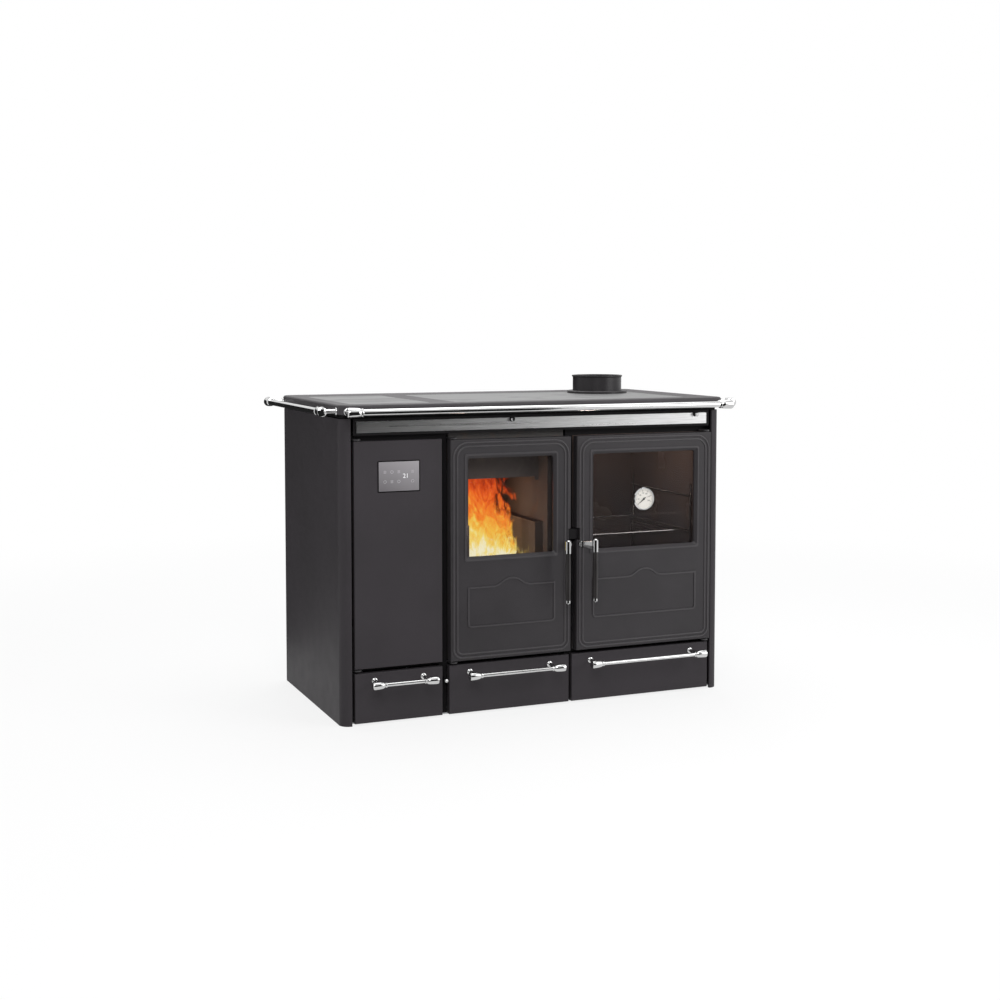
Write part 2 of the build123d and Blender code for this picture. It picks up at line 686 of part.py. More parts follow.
def steel_band():
    """The brushed band on the fascia, notched at its top for the control rods."""
    back = UPRIGHT_FRONT - FASCIA_DEPTH
    bottom = FASCIA_BOTTOM + BAND_BOTTOM_MARGIN
    x = (TECH_LEFT + BAND_END_MARGIN, OVEN_RIGHT - BAND_END_MARGIN)
    shape = outline(x, (bottom, bottom + BAND_HEIGHT))
    for rod_x in (SMOKE_ROD_X, AIR_ROD_X):
        notch = Pos(rod_x, control_rod_height()) * Circle(BAND_NOTCH / 2)
        notch += outline((rod_x - BAND_NOTCH / 2, rod_x + BAND_NOTCH / 2),
                         (control_rod_height(), bottom + BAND_HEIGHT + OVERCUT))
        shape -= notch
    return extrude(front_plane(back) * shape, BAND_SHEET)


# Worktop

def worktop_frame():
    """The cast frame of the top, hollow below, with a rebated window for each plate."""
    x, y = (WORKTOP_LEFT, WORKTOP_RIGHT), (WORKTOP_FRONT, WORKTOP_BACK)
    frame = Pos(0, 0, WORKTOP_BOTTOM) * extrude(outline(x, y, WORKTOP_CORNER),
                                                WORKTOP_THICKNESS)
    frame = fillet(frame.faces().sort_by(Axis.Z)[-1].edges(), WORKTOP_EDGE_ROUND)
    hollow = outline(grow(x, -WORKTOP_SKIRT), grow(y, -WORKTOP_SKIRT),
                     WORKTOP_CORNER - WORKTOP_SKIRT)
    frame -= Pos(0, 0, WORKTOP_BOTTOM) * extrude(hollow, WORKTOP_THICKNESS - WORKTOP_DECK)
    for plate_x in (WARM_PLATE, COOK_PLATE):
        plate_y = (PLATE_FRONT, PLATE_BACK)
        rebate = outline(grow(plate_x, PLATE_CLEARANCE), grow(plate_y, PLATE_CLEARANCE),
                         PLATE_CORNER + PLATE_CLEARANCE)
        through = outline(grow(plate_x, -PLATE_LEDGE), grow(plate_y, -PLATE_LEDGE))
        frame -= Pos(0, 0, PLATE_BOTTOM) * extrude(rebate, PLATE_THICKNESS)
        frame -= Pos(0, 0, WORKTOP_BOTTOM) * extrude(through, WORKTOP_THICKNESS)
    return frame


def top_plate(x):
    """A flat cast plate that lies in its rebate, level with the frame."""
    shape = outline(x, (PLATE_FRONT, PLATE_BACK), PLATE_CORNER)
    plate = Pos(0, 0, PLATE_BOTTOM) * extrude(shape, PLATE_THICKNESS)
    return chamfer(plate.faces().sort_by(Axis.Z)[-1].edges(), PLATE_CLEARANCE)


def cooking_plate():
    """The hot plate, with a hole below the flue collar."""
    radius = FLUE_RADIUS - FLUE_WALL + FLUE_HOLE_GAP
    hole = Pos(FLUE_X, FLUE_Y, PLATE_BOTTOM) * Cylinder(radius, 4 * PLATE_THICKNESS)
    return top_plate(COOK_PLATE) - hole


def flue_collar():
    """The smoke outlet: a flanged spigot with a rolled rim."""
    inner = FLUE_RADIUS - FLUE_WALL
    rim_bottom = FLUE_HEIGHT - FLUE_RIM_HEIGHT
    profile = [
        (inner, 0), (FLUE_FLANGE_RADIUS, 0), (FLUE_FLANGE_RADIUS, FLUE_FLANGE_THICKNESS - 2),
        (FLUE_FLANGE_RADIUS - 2, FLUE_FLANGE_THICKNESS), (FLUE_RADIUS, FLUE_FLANGE_THICKNESS),
        (FLUE_RADIUS, rim_bottom), (FLUE_RADIUS + FLUE_RIM, rim_bottom + FLUE_RIM),
        (FLUE_RADIUS + FLUE_RIM, FLUE_HEIGHT), (inner, FLUE_HEIGHT),
    ]
    return turned(profile, (FLUE_X, FLUE_Y, WORKTOP_TOP), (0, 0, 1))


# Guard rails

def bell(start, direction, rod_radius, cup_radius, length):
    """A bell-shaped end fitting: it opens from the rod to a flat, rounded end."""
    bore = rod_radius + RAIL_SOCKET_GAP
    throat = rod_radius + (cup_radius - rod_radius) * 0.35
    profile = [
        (bore, 0), (throat, 0), (throat, length * 0.12),
        (rod_radius + (cup_radius - rod_radius) * 0.45, length * 0.4),
        (cup_radius * 0.94, length * 0.78), (cup_radius, length * 0.9),
        (cup_radius * 0.9, length * 0.97), (cup_radius * 0.6, length), (0, length),
        (0, length * 0.3), (bore, length * 0.3),
    ]
    return turned(profile, start, direction)


def rail_height():
    return WORKTOP_TOP - RAIL_DROP


def front_rail_y():
    return FRONT - FRONT_RAIL_REACH


def side_rail_x():
    return HALF_WIDTH + SIDE_RAIL_OUT


def side_rail_ends():
    return (FRONT + SIDE_RAIL_FRONT_INSET, BACK + SIDE_RAIL_BACK_OUT)


def guard_rails():
    """The chromed bars: a long one in front of the worktop and a short one on each side."""
    inset = RAIL_CUP_LENGTH * 0.75
    half = FRONT_RAIL_HALF - inset
    low, high = side_rail_ends()
    rails = [round_bar((-half, front_rail_y(), rail_height()),
                       (half, front_rail_y(), rail_height()), RAIL_RADIUS)]
    for side in (-1, 1):
        rails.append(round_bar((side * side_rail_x(), low + inset, rail_height()),
                               (side * side_rail_x(), high - inset, rail_height()), RAIL_RADIUS))
    return Compound(rails)


def rail_bracket(cup_start, cup_direction, foot_direction, foot_length):
    """An end fitting with its stem and the rosette that bears on the worktop's edge."""
    direction = Vector(*cup_direction)
    middle = Vector(*cup_start) + direction * (RAIL_CUP_LENGTH * 0.62)
    foot = middle + Vector(*foot_direction) * foot_length
    rosette = foot - Vector(*foot_direction) * RAIL_ROSETTE_THICKNESS
    fitting = bell(cup_start, cup_direction, RAIL_RADIUS, RAIL_CUP_RADIUS, RAIL_CUP_LENGTH)
    stem_start = middle + Vector(*foot_direction) * (RAIL_RADIUS + 1)
    fitting += round_bar(stem_start, foot, RAIL_POST_RADIUS)
    return fitting + round_bar(rosette, foot, RAIL_ROSETTE_RADIUS)


def rail_fittings():
    """Six bell ends with stems: two on the front rail and two on each side rail."""
    fittings = []
    reach = WORKTOP_FRONT - front_rail_y()
    for side in (-1, 1):
        start = (side * (FRONT_RAIL_HALF - RAIL_CUP_LENGTH), front_rail_y(), rail_height())
        fittings.append(rail_bracket(start, (side, 0, 0), (0, 1, 0), reach))
    low, high = side_rail_ends()
    reach = side_rail_x() - WORKTOP_RIGHT
    for side in (-1, 1):
        for end, way in ((low + RAIL_CUP_LENGTH, -1), (high - RAIL_CUP_LENGTH, 1)):
            start = (side * side_rail_x(), end, rail_height())
            fittings.append(rail_bracket(start, (0, way, 0), (-side, 0, 0), reach))
    return Compound(fittings)


# Cast doors

def ogee_outline(middle, half_width, bottom, inset):
    """The ornament's outline: a low panel whose top edge swells to a crest."""
    left, right = middle - half_width + inset, middle + half_width - inset
    low, high = bottom + inset, bottom + ORNAMENT_HEIGHT - inset
    crest = high + ORNAMENT_RISE
    corner = ORNAMENT_CORNER - inset
    swell = ORNAMENT_SHOULDER / 2
    edges = [
        Line((left + corner, low), (right - corner, low)),
        ThreePointArc((right - corner, low), corner_middle(right, low, corner, -1, 1),
                      (right, low + corner)),
        Line((right, low + corner), (right, high)),
        Line((right, high), (middle + ORNAMENT_SHOULDER, high)),
        Bezier((middle + ORNAMENT_SHOULDER, high), (middle + swell, high),
               (middle + swell, crest), (middle, crest)),
        Bezier((middle, crest), (middle - swell, crest), (middle - swell, high),
               (middle - ORNAMENT_SHOULDER, high)),
        Line((middle - ORNAMENT_SHOULDER, high), (left, high)),
        Line((left, high), (left, low + corner)),
        ThreePointArc((left, low + corner), corner_middle(left, low, corner, 1, 1),
                      (left + corner, low)),
    ]
    return make_face(Wire(edges))


def corner_middle(x, z, radius, way_x, way_z):
    """The middle point of a quarter-round corner."""
    short = radius * (1 - math.sqrt(0.5))
    return (x + way_x * short, z + way_z * short)


def bead_outline(x, z, margin):
    """A bead's edge at a margin from the door's edge, rounder at the top than at the bottom."""
    shape = outline(grow(x, -margin), grow(z, -margin))
    drawn_in = margin - BEAD_MARGIN
    shape = fillet(shape.vertices().group_by(Axis.Y)[-1], BEAD_TOP_CORNER - drawn_in)
    return fillet(shape.vertices().group_by(Axis.Y)[0], BEAD_BOTTOM_CORNER - drawn_in)


def bead_ring(x, z, margin):
    """One raised half-round bead that runs round a door."""
    ring = bead_outline(x, z, margin) - bead_outline(x, z, margin + BEAD_WIDTH)
    bead = extrude(front_plane(CAST_DOOR_FRONT) * ring, BEAD_HEIGHT)
    return fillet(bead.faces().sort_by(Axis.Y)[0].edges(), BEAD_ROUND)


def cast_door(x, hinge_side):
    """A cast door: bevelled window, double bead, ogee ornament, and bores for pin and lever."""
    z = (DOOR_BOTTOM, CAST_DOOR_TOP)
    middle = (x[0] + x[1]) / 2
    door = block(x, (CAST_DOOR_FRONT, CAST_DOOR_BACK), z)
    door = fillet(door.faces().sort_by(Axis.Y)[0].edges(), CAST_DOOR_EDGE_ROUND)
    door -= block(grow(x, -CAST_DOOR_RIM), (CAST_PLATE_BACK, CAST_DOOR_BACK + OVERCUT),
                  grow(z, -CAST_DOOR_RIM))

    window_x, window_z = grow(x, -WINDOW_SIDE_MARGIN), (WINDOW_BOTTOM, WINDOW_TOP)
    pad = outline(grow(window_x, WINDOW_BEVEL), grow(window_z, WINDOW_BEVEL), WINDOW_CORNER)
    door += extrude(front_plane(CAST_DOOR_FRONT) * pad, FRAME_PAD_HEIGHT)
    opening = outline(window_x, window_z, WINDOW_CORNER)
    door -= extrude(front_plane(CAST_PLATE_BACK + OVERCUT) * opening, CAST_DOOR_THICKNESS)
    mouth = CAST_DOOR_FRONT - FRAME_PAD_HEIGHT
    bevel_front = outline(grow(window_x, WINDOW_BEVEL * 0.7), grow(window_z, WINDOW_BEVEL * 0.7),
                          WINDOW_CORNER)
    door -= loft([front_plane(mouth) * bevel_front,
                  front_plane(mouth + WINDOW_BEVEL_DEPTH) * opening])

    for margin in (BEAD_MARGIN, BEAD_MARGIN + BEAD_SPACING):
        door += bead_ring(x, z, margin)
    half = (x[1] - x[0]) / 2 - ORNAMENT_SIDE_MARGIN
    bottom = DOOR_BOTTOM + ORNAMENT_BOTTOM_MARGIN
    ornament = ogee_outline(middle, half, bottom, 0)
    ornament -= ogee_outline(middle, half, bottom, ORNAMENT_BEAD)
    door += extrude(front_plane(CAST_DOOR_FRONT) * ornament, BEAD_HEIGHT)

    hinge_x = x[0] + HINGE_INSET if hinge_side < 0 else x[1] - HINGE_INSET
    for end, way in ((z[0], 1), (z[1], -1)):
        depth = HINGE_PIN_LENGTH + OVERCUT
        door -= round_bar((hinge_x, CAST_HINGE_Y, end - way * OVERCUT),
                          (hinge_x, CAST_HINGE_Y, end + way * depth),
                          HINGE_PIN_RADIUS + HINGE_PIN_CLEARANCE)

    lever_x = x[1] - LEVER_INSET if hinge_side < 0 else x[0] + LEVER_INSET
    door += round_bar((lever_x, CAST_DOOR_FRONT, LEVER_Z),
                      (lever_x, CAST_DOOR_FRONT - LEVER_PAD_HEIGHT, LEVER_Z), LEVER_HUB_RADIUS)
    door -= round_bar((lever_x, CAST_DOOR_FRONT - LEVER_PAD_HEIGHT - OVERCUT, LEVER_Z),
                      (lever_x, CAST_DOOR_BACK + OVERCUT, LEVER_Z),
                      LEVER_SPINDLE_RADIUS + LEVER_SPINDLE_CLEARANCE)
    reach = STRIKE_WIDTH / 2 + STRIKE_NOTCH_GAP
    door -= block((DOOR_MIDDLE - reach, DOOR_MIDDLE + reach),
                  (CAST_DOOR_FRONT - CAST_DOOR_THICKNESS, CAST_DOOR_BACK + OVERCUT),
                  (STRIKE_BOTTOM - STRIKE_NOTCH_GAP, STRIKE_TOP + STRIKE_NOTCH_GAP))
    return door


def door_glass(x):
    """The pane behind a cast door's window."""
    shape = outline(grow(x, -WINDOW_SIDE_MARGIN + GLASS_LAP),
                    grow((WINDOW_BOTTOM, WINDOW_TOP), GLASS_LAP))
    return extrude(front_plane(CAST_PLATE_BACK + GLASS_THICKNESS) * shape, GLASS_THICKNESS)


def oven_glass():
    """The oven pane, drilled for the thermometer's stem."""
    hole = round_bar((OVEN_MIDDLE, CAST_PLATE_BACK - OVERCUT, DIAL_Z),
                     (OVEN_MIDDLE, CAST_PLATE_BACK + GLASS_THICKNESS + OVERCUT, DIAL_Z),
                     DIAL_STEM_RADIUS + DIAL_STEM_GAP)
    return door_glass((OVEN_LEFT, OVEN_RIGHT)) - hole


def door_gasket(x):
    """The sealing rope behind a cast door, just inside the rim of its back."""
    margin = GASKET_MARGIN - GASKET_RADIUS
    outer = outline(grow(x, -margin), grow((DOOR_BOTTOM, CAST_DOOR_TOP), -margin), GASKET_CORNER)
    inner = outline(grow(x, -margin - 2 * GASKET_RADIUS),
                    grow((DOOR_BOTTOM, CAST_DOOR_TOP), -margin - 2 * GASKET_RADIUS),
                    GASKET_CORNER - 2 * GASKET_RADIUS)
    depth = UPRIGHT_FRONT - HINGE_WASHER_GAP / 2 - CAST_PLATE_BACK
    rope = extrude(front_plane(CAST_PLATE_BACK + depth) * (outer - inner), depth)
    return fillet(rope.faces().sort_by(Axis.Y)[-1].edges(), GASKET_RADIUS / 2)


def latch_strike():
    """The catch block between the two cast doors, on its upright."""
    return block((DOOR_MIDDLE - STRIKE_WIDTH / 2, DOOR_MIDDLE + STRIKE_WIDTH / 2),
                 (CAST_DOOR_FRONT + STRIKE_SETBACK, UPRIGHT_FRONT),
                 (STRIKE_BOTTOM, STRIKE_TOP))


def lever_pivot(side):
    return (OVEN_LEFT if side > 0 else FIRE_RIGHT) + side * LEVER_INSET


def door_lever(side):
    """A chromed lever: hub, spindle, latch tongue, cranked arm, sleeve, core and tip."""
    pivot = lever_pivot(side)
    pad_front = CAST_DOOR_FRONT - LEVER_PAD_HEIGHT - LEVER_PAD_GAP
    hub_front = pad_front - LEVER_HUB_LENGTH
    tongue_front = CAST_DOOR_BACK + TONGUE_GAP
    grip_x, grip_y = pivot + side * LEVER_OFFSET, CAST_DOOR_FRONT - LEVER_REACH

    lever = round_bar((pivot, pad_front, LEVER_Z), (pivot, hub_front, LEVER_Z), LEVER_HUB_RADIUS)
    lever += round_bar((pivot, hub_front, LEVER_Z),
                       (pivot, tongue_front + TONGUE_THICKNESS, LEVER_Z), LEVER_SPINDLE_RADIUS)
    tongue_x = sorted((pivot + side * TONGUE_HEIGHT / 2, pivot - side * TONGUE_LENGTH))
    lever += block(tongue_x, (tongue_front, tongue_front + TONGUE_THICKNESS),
                   (LEVER_Z - TONGUE_HEIGHT / 2, LEVER_Z + TONGUE_HEIGHT / 2))

    root = Vector(pivot, hub_front + LEVER_HUB_LENGTH / 2, LEVER_Z)
    tip = Vector(grip_x, grip_y, (SLEEVE_TOP + SLEEVE_BOTTOM) / 2)
    along = Vector(tip.X - root.X, tip.Y - root.Y, 0)
    ends = []
    for place, height in ((root, LEVER_ARM_ROOT_HEIGHT), (tip, LEVER_ARM_TIP_HEIGHT)):
        plane = Plane(origin=place, x_dir=along.cross(Vector(0, 0, 1)), z_dir=along)
        ends.append(plane * RectangleRounded(LEVER_ARM_WIDTH, height, LEVER_ARM_WIDTH / 3))
    lever += loft(ends)

    lever += turned([(0, 0), (SLEEVE_RADIUS, 0), (SLEEVE_RADIUS, SLEEVE_TOP - SLEEVE_BOTTOM - 3),
                     (SLEEVE_RADIUS - 3, SLEEVE_TOP - SLEEVE_BOTTOM),
                     (0, SLEEVE_TOP - SLEEVE_BOTTOM)],
                    (grip_x, grip_y, SLEEVE_BOTTOM), (0, 0, 1))
    lever += round_bar((grip_x, grip_y, SLEEVE_BOTTOM), (grip_x, grip_y, LEVER_TIP_BOTTOM),
                       GRIP_CORE_RADIUS)
    tip_height = GRIP_BOTTOM - LEVER_TIP_BOTTOM
    lever += turned([(0, 0), (LEVER_TIP_RADIUS - 2.5, 0), (LEVER_TIP_RADIUS, 2.5),
                     (LEVER_TIP_RADIUS, tip_height), (0, tip_height)],
                    (grip_x, grip_y, LEVER_TIP_BOTTOM), (0, 0, 1))
    return lever


def lever_grip(side):
    """The black sleeve of a lever: a slightly barrelled tube on the lever's core."""
    place = (lever_pivot(side) + side * LEVER_OFFSET, CAST_DOOR_FRONT - LEVER_REACH, GRIP_BOTTOM)
    bore, length = GRIP_CORE_RADIUS + GRIP_CORE_GAP, SLEEVE_BOTTOM - GRIP_BOTTOM
    waist = GRIP_RADIUS - 0.8
    profile = [(bore, 0), (waist, 0), (GRIP_RADIUS, length * 0.3), (GRIP_RADIUS, length * 0.7),
               (waist, length), (bore, length)]
    return turned(profile, place, (0, 0, 1))


# Technical compartment door

def tech_door_panel():
    """The folded sheet door, cut out for the display, with a block for each hinge pin."""
    x, z = (TECH_LEFT, TECH_RIGHT), (DOOR_BOTTOM, TECH_DOOR_TOP)
    door = folded_front(x, z, TECH_DOOR_THICKNESS, TECH_DOOR_SHEET, TECH_DOOR_EDGE_ROUND)
    back = FRONT + TECH_DOOR_THICKNESS
    for end, way in ((z[0], 1), (z[1], -1)):
        block_z = sorted((end + way * TECH_DOOR_SHEET / 2, end + way * TECH_HINGE_BLOCK))
        door += block((x[0] + TECH_DOOR_SHEET / 2, x[0] + TECH_HINGE_BLOCK),
                      (FRONT + TECH_DOOR_SHEET / 2, back), block_z)
        door -= round_bar((x[0] + TECH_HINGE_INSET, TECH_HINGE_Y, end - way * OVERCUT),
                          (x[0] + TECH_HINGE_INSET, TECH_HINGE_Y,
                           end + way * (HINGE_PIN_LENGTH + OVERCUT)),
                          HINGE_PIN_RADIUS + HINGE_PIN_CLEARANCE)
    cut_x, cut_z = display_limits(-DISPLAY_LAP)
    return door - block(cut_x, (FRONT - OVERCUT, FRONT + TECH_DOOR_SHEET + OVERCUT), cut_z)


def display_limits(margin):
    left = TECH_LEFT + DISPLAY_LEFT_MARGIN
    top = TECH_DOOR_TOP - DISPLAY_TOP_MARGIN
    return (grow((left, left + DISPLAY_WIDTH), margin),
            grow((top - DISPLAY_HEIGHT, top), margin))


def touch_display():
    """The display: a glass face just proud of the door, and its case behind the cut-out."""
    face = extrude(front_plane(FRONT) * outline(*display_limits(0), DISPLAY_CORNER),
                   DISPLAY_PROUD)
    case_x, case_z = display_limits(-DISPLAY_LAP - DISPLAY_CASE_GAP)
    return face + block(case_x, (FRONT, FRONT + DISPLAY_CASE_DEPTH), case_z)


# Hinges

def door_hinges():
    """A pin plate above and below each door: the pin turns in the door's bore."""
    places = [
        (TECH_LEFT + TECH_HINGE_INSET, TECH_HINGE_Y, TECH_DOOR_TOP),
        (FIRE_LEFT + HINGE_INSET, CAST_HINGE_Y, CAST_DOOR_TOP),
        (OVEN_RIGHT - HINGE_INSET, CAST_HINGE_Y, CAST_DOOR_TOP),
    ]
    hinges = []
    for x, y, top in places:
        for edge, way in ((DOOR_BOTTOM, -1), (top, 1)):
            inner = edge + way * HINGE_WASHER_GAP
            outer = inner + way * HINGE_PLATE
            plate = block((x - HINGE_PLATE_WIDTH / 2, x + HINGE_PLATE_WIDTH / 2),
                          (y, UPRIGHT_FRONT), sorted((inner, outer)))
            plate += round_bar((x, y, inner), (x, y, outer), HINGE_PLATE_WIDTH / 2)
            hinges.append(plate + round_bar((x, y, outer), (x, y, edge - way * HINGE_PIN_LENGTH),
                                            HINGE_PIN_RADIUS))
    return Compound(hinges)


# Drawers

def drawer_front(x):
    """A drawer's folded sheet front."""
    return folded_front(x, (DRAWER_BOTTOM, DRAWER_TOP), DRAWER_FRONT_THICKNESS, DRAWER_SHEET,
                        DRAWER_EDGE_ROUND)


def drawer_tray(bay):
    """A drawer's open tray, between its runners."""
    bottom = DRAWER_BOTTOM + TRAY_LIFT
    start = FRONT + DRAWER_FRONT_THICKNESS
    side = RUNNER_WEB + RUNNER_SIDE_GAP
    return open_tray(grow(bay, -side), (start, start + TRAY_DEPTH),
                     (bottom, bottom + TRAY_HEIGHT), TRAY_SHEET)


def drawer_runners():
    """An angle on each side of each drawer's bay, with the tray's floor just above its lip."""
    lip_top = DRAWER_BOTTOM + TRAY_LIFT - RUNNER_TRAY_GAP
    lip_z = (lip_top - RUNNER_LIP_THICKNESS, lip_top)
    y = (UPRIGHT_BACK, BACK_PANEL_FRONT)
    runners = []
    for bay in BAYS:
        for edge, way in ((bay[0], 1), (bay[1], -1)):
            web = block(sorted((edge, edge + way * RUNNER_WEB)), y,
                        (lip_z[0], lip_z[0] + RUNNER_WEB_HEIGHT))
            lip = block(sorted((edge, edge + way * (RUNNER_WEB + RUNNER_LIP))), y, lip_z)
            runners.append(web + lip)
    return Compound(runners)


def drawer_handle(middle, length):
    """A drawer's bar handle: rod, two bell ends, two stems and their rosettes."""
    y = FRONT - DRAWER_RAIL_REACH
    half = length / 2
    handle = round_bar((middle - half + DRAWER_CUP_LENGTH / 2, y, DRAWER_RAIL_Z),
                       (middle + half - DRAWER_CUP_LENGTH / 2, y, DRAWER_RAIL_Z),
                       DRAWER_RAIL_RADIUS)
    for side in (-1, 1):
        end = middle + side * half
        points = [
            (0, 0), (DRAWER_RAIL_RADIUS * 1.1, 0), (DRAWER_RAIL_RADIUS * 1.25, DRAWER_CUP_NECK),
            (DRAWER_CUP_RADIUS * 0.85, DRAWER_CUP_LENGTH * 0.66),
            (DRAWER_CUP_RADIUS, DRAWER_CUP_LENGTH * 0.86),
            (DRAWER_CUP_RADIUS * 0.92, DRAWER_CUP_LENGTH * 0.96),
            (DRAWER_CUP_RADIUS * 0.6, DRAWER_CUP_LENGTH), (0, DRAWER_CUP_LENGTH),
        ]
        handle += turned(points, (end - side * DRAWER_CUP_LENGTH, y, DRAWER_RAIL_Z),
                         (side, 0, 0))
        stem_x = end - side * DRAWER_CUP_LENGTH * 0.35
        handle += round_bar((stem_x, y, DRAWER_RAIL_Z), (stem_x, FRONT, DRAWER_RAIL_Z),
                            DRAWER_POST_RADIUS)
        handle += round_bar((stem_x, FRONT - DRAWER_ROSETTE_THICKNESS, DRAWER_RAIL_Z),
                            (stem_x, FRONT, DRAWER_RAIL_Z), DRAWER_ROSETTE_RADIUS)
    return handle


# Control rods

def control_rod(x, length):
    """A draught control: a rod through the fascia with a turned knob."""
    z = control_rod_height()
    knob_front = UPRIGHT_FRONT - FASCIA_DEPTH - BAND_SHEET - CONTROL_KNOB_PROUD
    profile = [
        (0, 0), (CONTROL_KNOB_RADIUS * 0.7, 0), (CONTROL_KNOB_RADIUS, 2),
        (CONTROL_KNOB_RADIUS, CONTROL_KNOB_FACE),
        (CONTROL_ROD_RADIUS, CONTROL_KNOB_LENGTH - CONTROL_KNOB_NECK),
        (CONTROL_ROD_RADIUS, length), (0, length),
    ]
    return turned(profile, (x, knob_front, z), (0, 1, 0))


def primary_air_rod():
    """The primary air rod, which runs through the column between two drawers."""
    x, z = COLUMN_MIDDLE, PRIMARY_ROD_Z
    knob_middle = FRONT - PRIMARY_KNOB_RADIUS / 2
    rod_start = (x, knob_middle, z)
    rod_end = (x, UPRIGHT_FRONT + PRIMARY_ROD_LENGTH, z)
    return Pos(*rod_start) * Sphere(PRIMARY_KNOB_RADIUS) + round_bar(rod_start, rod_end,
                                                                      CONTROL_ROD_RADIUS)


# Boiler and firebox

def fire_space(margin):
    """The room for the fire and the smoke slot above it, grown by a margin."""
    front = UPRIGHT_FRONT
    room = block(grow((CAVITY_LEFT, CAVITY_RIGHT), margin),
                 (front - OVERCUT, CAVITY_BACK + margin),
                 grow((CAVITY_BOTTOM, CAVITY_TOP), margin))
    slot_x = (FIRE_MIDDLE - SMOKE_SLOT_WIDTH / 2, FIRE_MIDDLE + SMOKE_SLOT_WIDTH / 2)
    slot_back = CAVITY_BACK - SMOKE_SLOT_BACK
    return room + block(grow(slot_x, margin), grow((slot_back - SMOKE_SLOT_DEPTH, slot_back), margin),
                        (CAVITY_TOP - OVERCUT, JACKET_TOP + OVERCUT))


def water_space():
    """The closed room for water between the jacket's outer and inner sheets."""
    outer = block(grow((JACKET_LEFT, JACKET_RIGHT), -JACKET_SHEET),
                  (UPRIGHT_FRONT + JACKET_SHEET, JACKET_BACK - JACKET_SHEET),
                  grow((SHELF_TOP, JACKET_TOP), -JACKET_SHEET))
    return outer - fire_space(JACKET_SHEET)


def boiler_jacket():
    """The welded water jacket round the firebox, with ledges inside and a smoke slot above."""
    front = UPRIGHT_FRONT
    jacket = block((JACKET_LEFT, JACKET_RIGHT), (front, JACKET_BACK), (SHELF_TOP, JACKET_TOP))
    jacket -= fire_space(0) + water_space()
    for shelf in (GRATE_Z, BAFFLE_Z):
        for wall, way in ((CAVITY_LEFT, 1), (CAVITY_RIGHT, -1)):
            x = sorted((wall - way * OVERCUT, wall + way * LEDGE_WIDTH))
            y = (front + BAFFLE_FRONT_SETBACK, CAVITY_BACK + OVERCUT)
            jacket += block(x, y, (shelf - LEDGE_HEIGHT, shelf))
    return jacket


def fire_grate():
    """The cast floor of the fire, slotted for the ash to fall through."""
    x = grow((CAVITY_LEFT, CAVITY_RIGHT), -GRATE_GAP)
    y = (UPRIGHT_FRONT + GRATE_FRONT_SETBACK, CAVITY_BACK - GRATE_GAP)
    grate = block(x, y, (GRATE_Z, GRATE_TOP))
    middle = (y[0] + y[1]) / 2
    for step in range(GRATE_SLOTS):
        slot_x = FIRE_MIDDLE + (step - (GRATE_SLOTS - 1) / 2) * GRATE_SLOT_PITCH
        slot = Pos(slot_x, middle) * SlotOverall(GRATE_SLOT_LENGTH, GRATE_SLOT_WIDTH, rotation=90)
        grate -= Pos(0, 0, GRATE_Z) * extrude(slot, GRATE_THICKNESS)
    return grate


def firebrick_lining():
    """Three fireclay slabs that stand on the grate along the walls of the firebox."""
    z = (GRATE_TOP, GRATE_TOP + BRICK_HEIGHT)
    y = (UPRIGHT_FRONT + BRICK_FRONT_SETBACK, CAVITY_BACK)
    inner = (CAVITY_LEFT + BRICK_THICKNESS, CAVITY_RIGHT - BRICK_THICKNESS)
    return Compound([
        block((CAVITY_LEFT, inner[0]), y, z),
        block((inner[1], CAVITY_RIGHT), y, z),
        block(inner, (CAVITY_BACK - BRICK_THICKNESS, CAVITY_BACK), z),
    ])


def smoke_baffle():
    """The deflector above the fire: a flat plate on the ledges with an upturned front."""
    x = grow((CAVITY_LEFT, CAVITY_RIGHT), -BAFFLE_SIDE_GAP)
    front = UPRIGHT_FRONT + BAFFLE_FRONT_SETBACK
    back = CAVITY_BACK - BAFFLE_BACK_GAP
    plate = block(x, (front, back), (BAFFLE_Z, BAFFLE_Z + BAFFLE_THICKNESS))
    lip = block(x, (front, front + BAFFLE_THICKNESS), (BAFFLE_Z, BAFFLE_Z + BAFFLE_LIP_HEIGHT))
    return plate + lip


def ash_pan():
    """The pan below the grate, with a bent pull at its front."""
    x = grow((CAVITY_LEFT, CAVITY_RIGHT), -ASH_PAN_SIDE_GAP)
    start = UPRIGHT_FRONT + ASH_PAN_FRONT_SETBACK
    z = (CAVITY_BOTTOM, CAVITY_BOTTOM + ASH_PAN_HEIGHT)
    pan = open_tray(x, (start, start + ASH_PAN_DEPTH), z, ASH_PAN_SHEET)
    return pan + block((FIRE_MIDDLE - ASH_PAN_PULL / 2, FIRE_MIDDLE + ASH_PAN_PULL / 2),
                       (start - ASH_PAN_PULL_REACH, start),
                       (z[1] - ASH_PAN_SHEET, z[1]))


# Oven

def oven_liner():
    """The oven's sheet box, open at the front, with its mouth flange and a foot behind."""
    flange_x = grow(OVEN_BAY, -OVEN_FLANGE_GAP)
    flange_z = (SHELF_TOP, CAST_DOOR_TOP)
    y = (UPRIGHT_FRONT, LINER_BACK)
    liner = block((LINER_LEFT, LINER_RIGHT), y, (LINER_BOTTOM, LINER_TOP - OVEN_SHEET))
    liner += block(flange_x, (UPRIGHT_FRONT, UPRIGHT_FRONT + OVEN_FLANGE), flange_z)
    liner += block((LINER_LEFT, LINER_RIGHT), (LINER_BACK - OVEN_FOOT, LINER_BACK),
                   (SHELF_TOP, LINER_BOTTOM))
    return liner - oven_space()


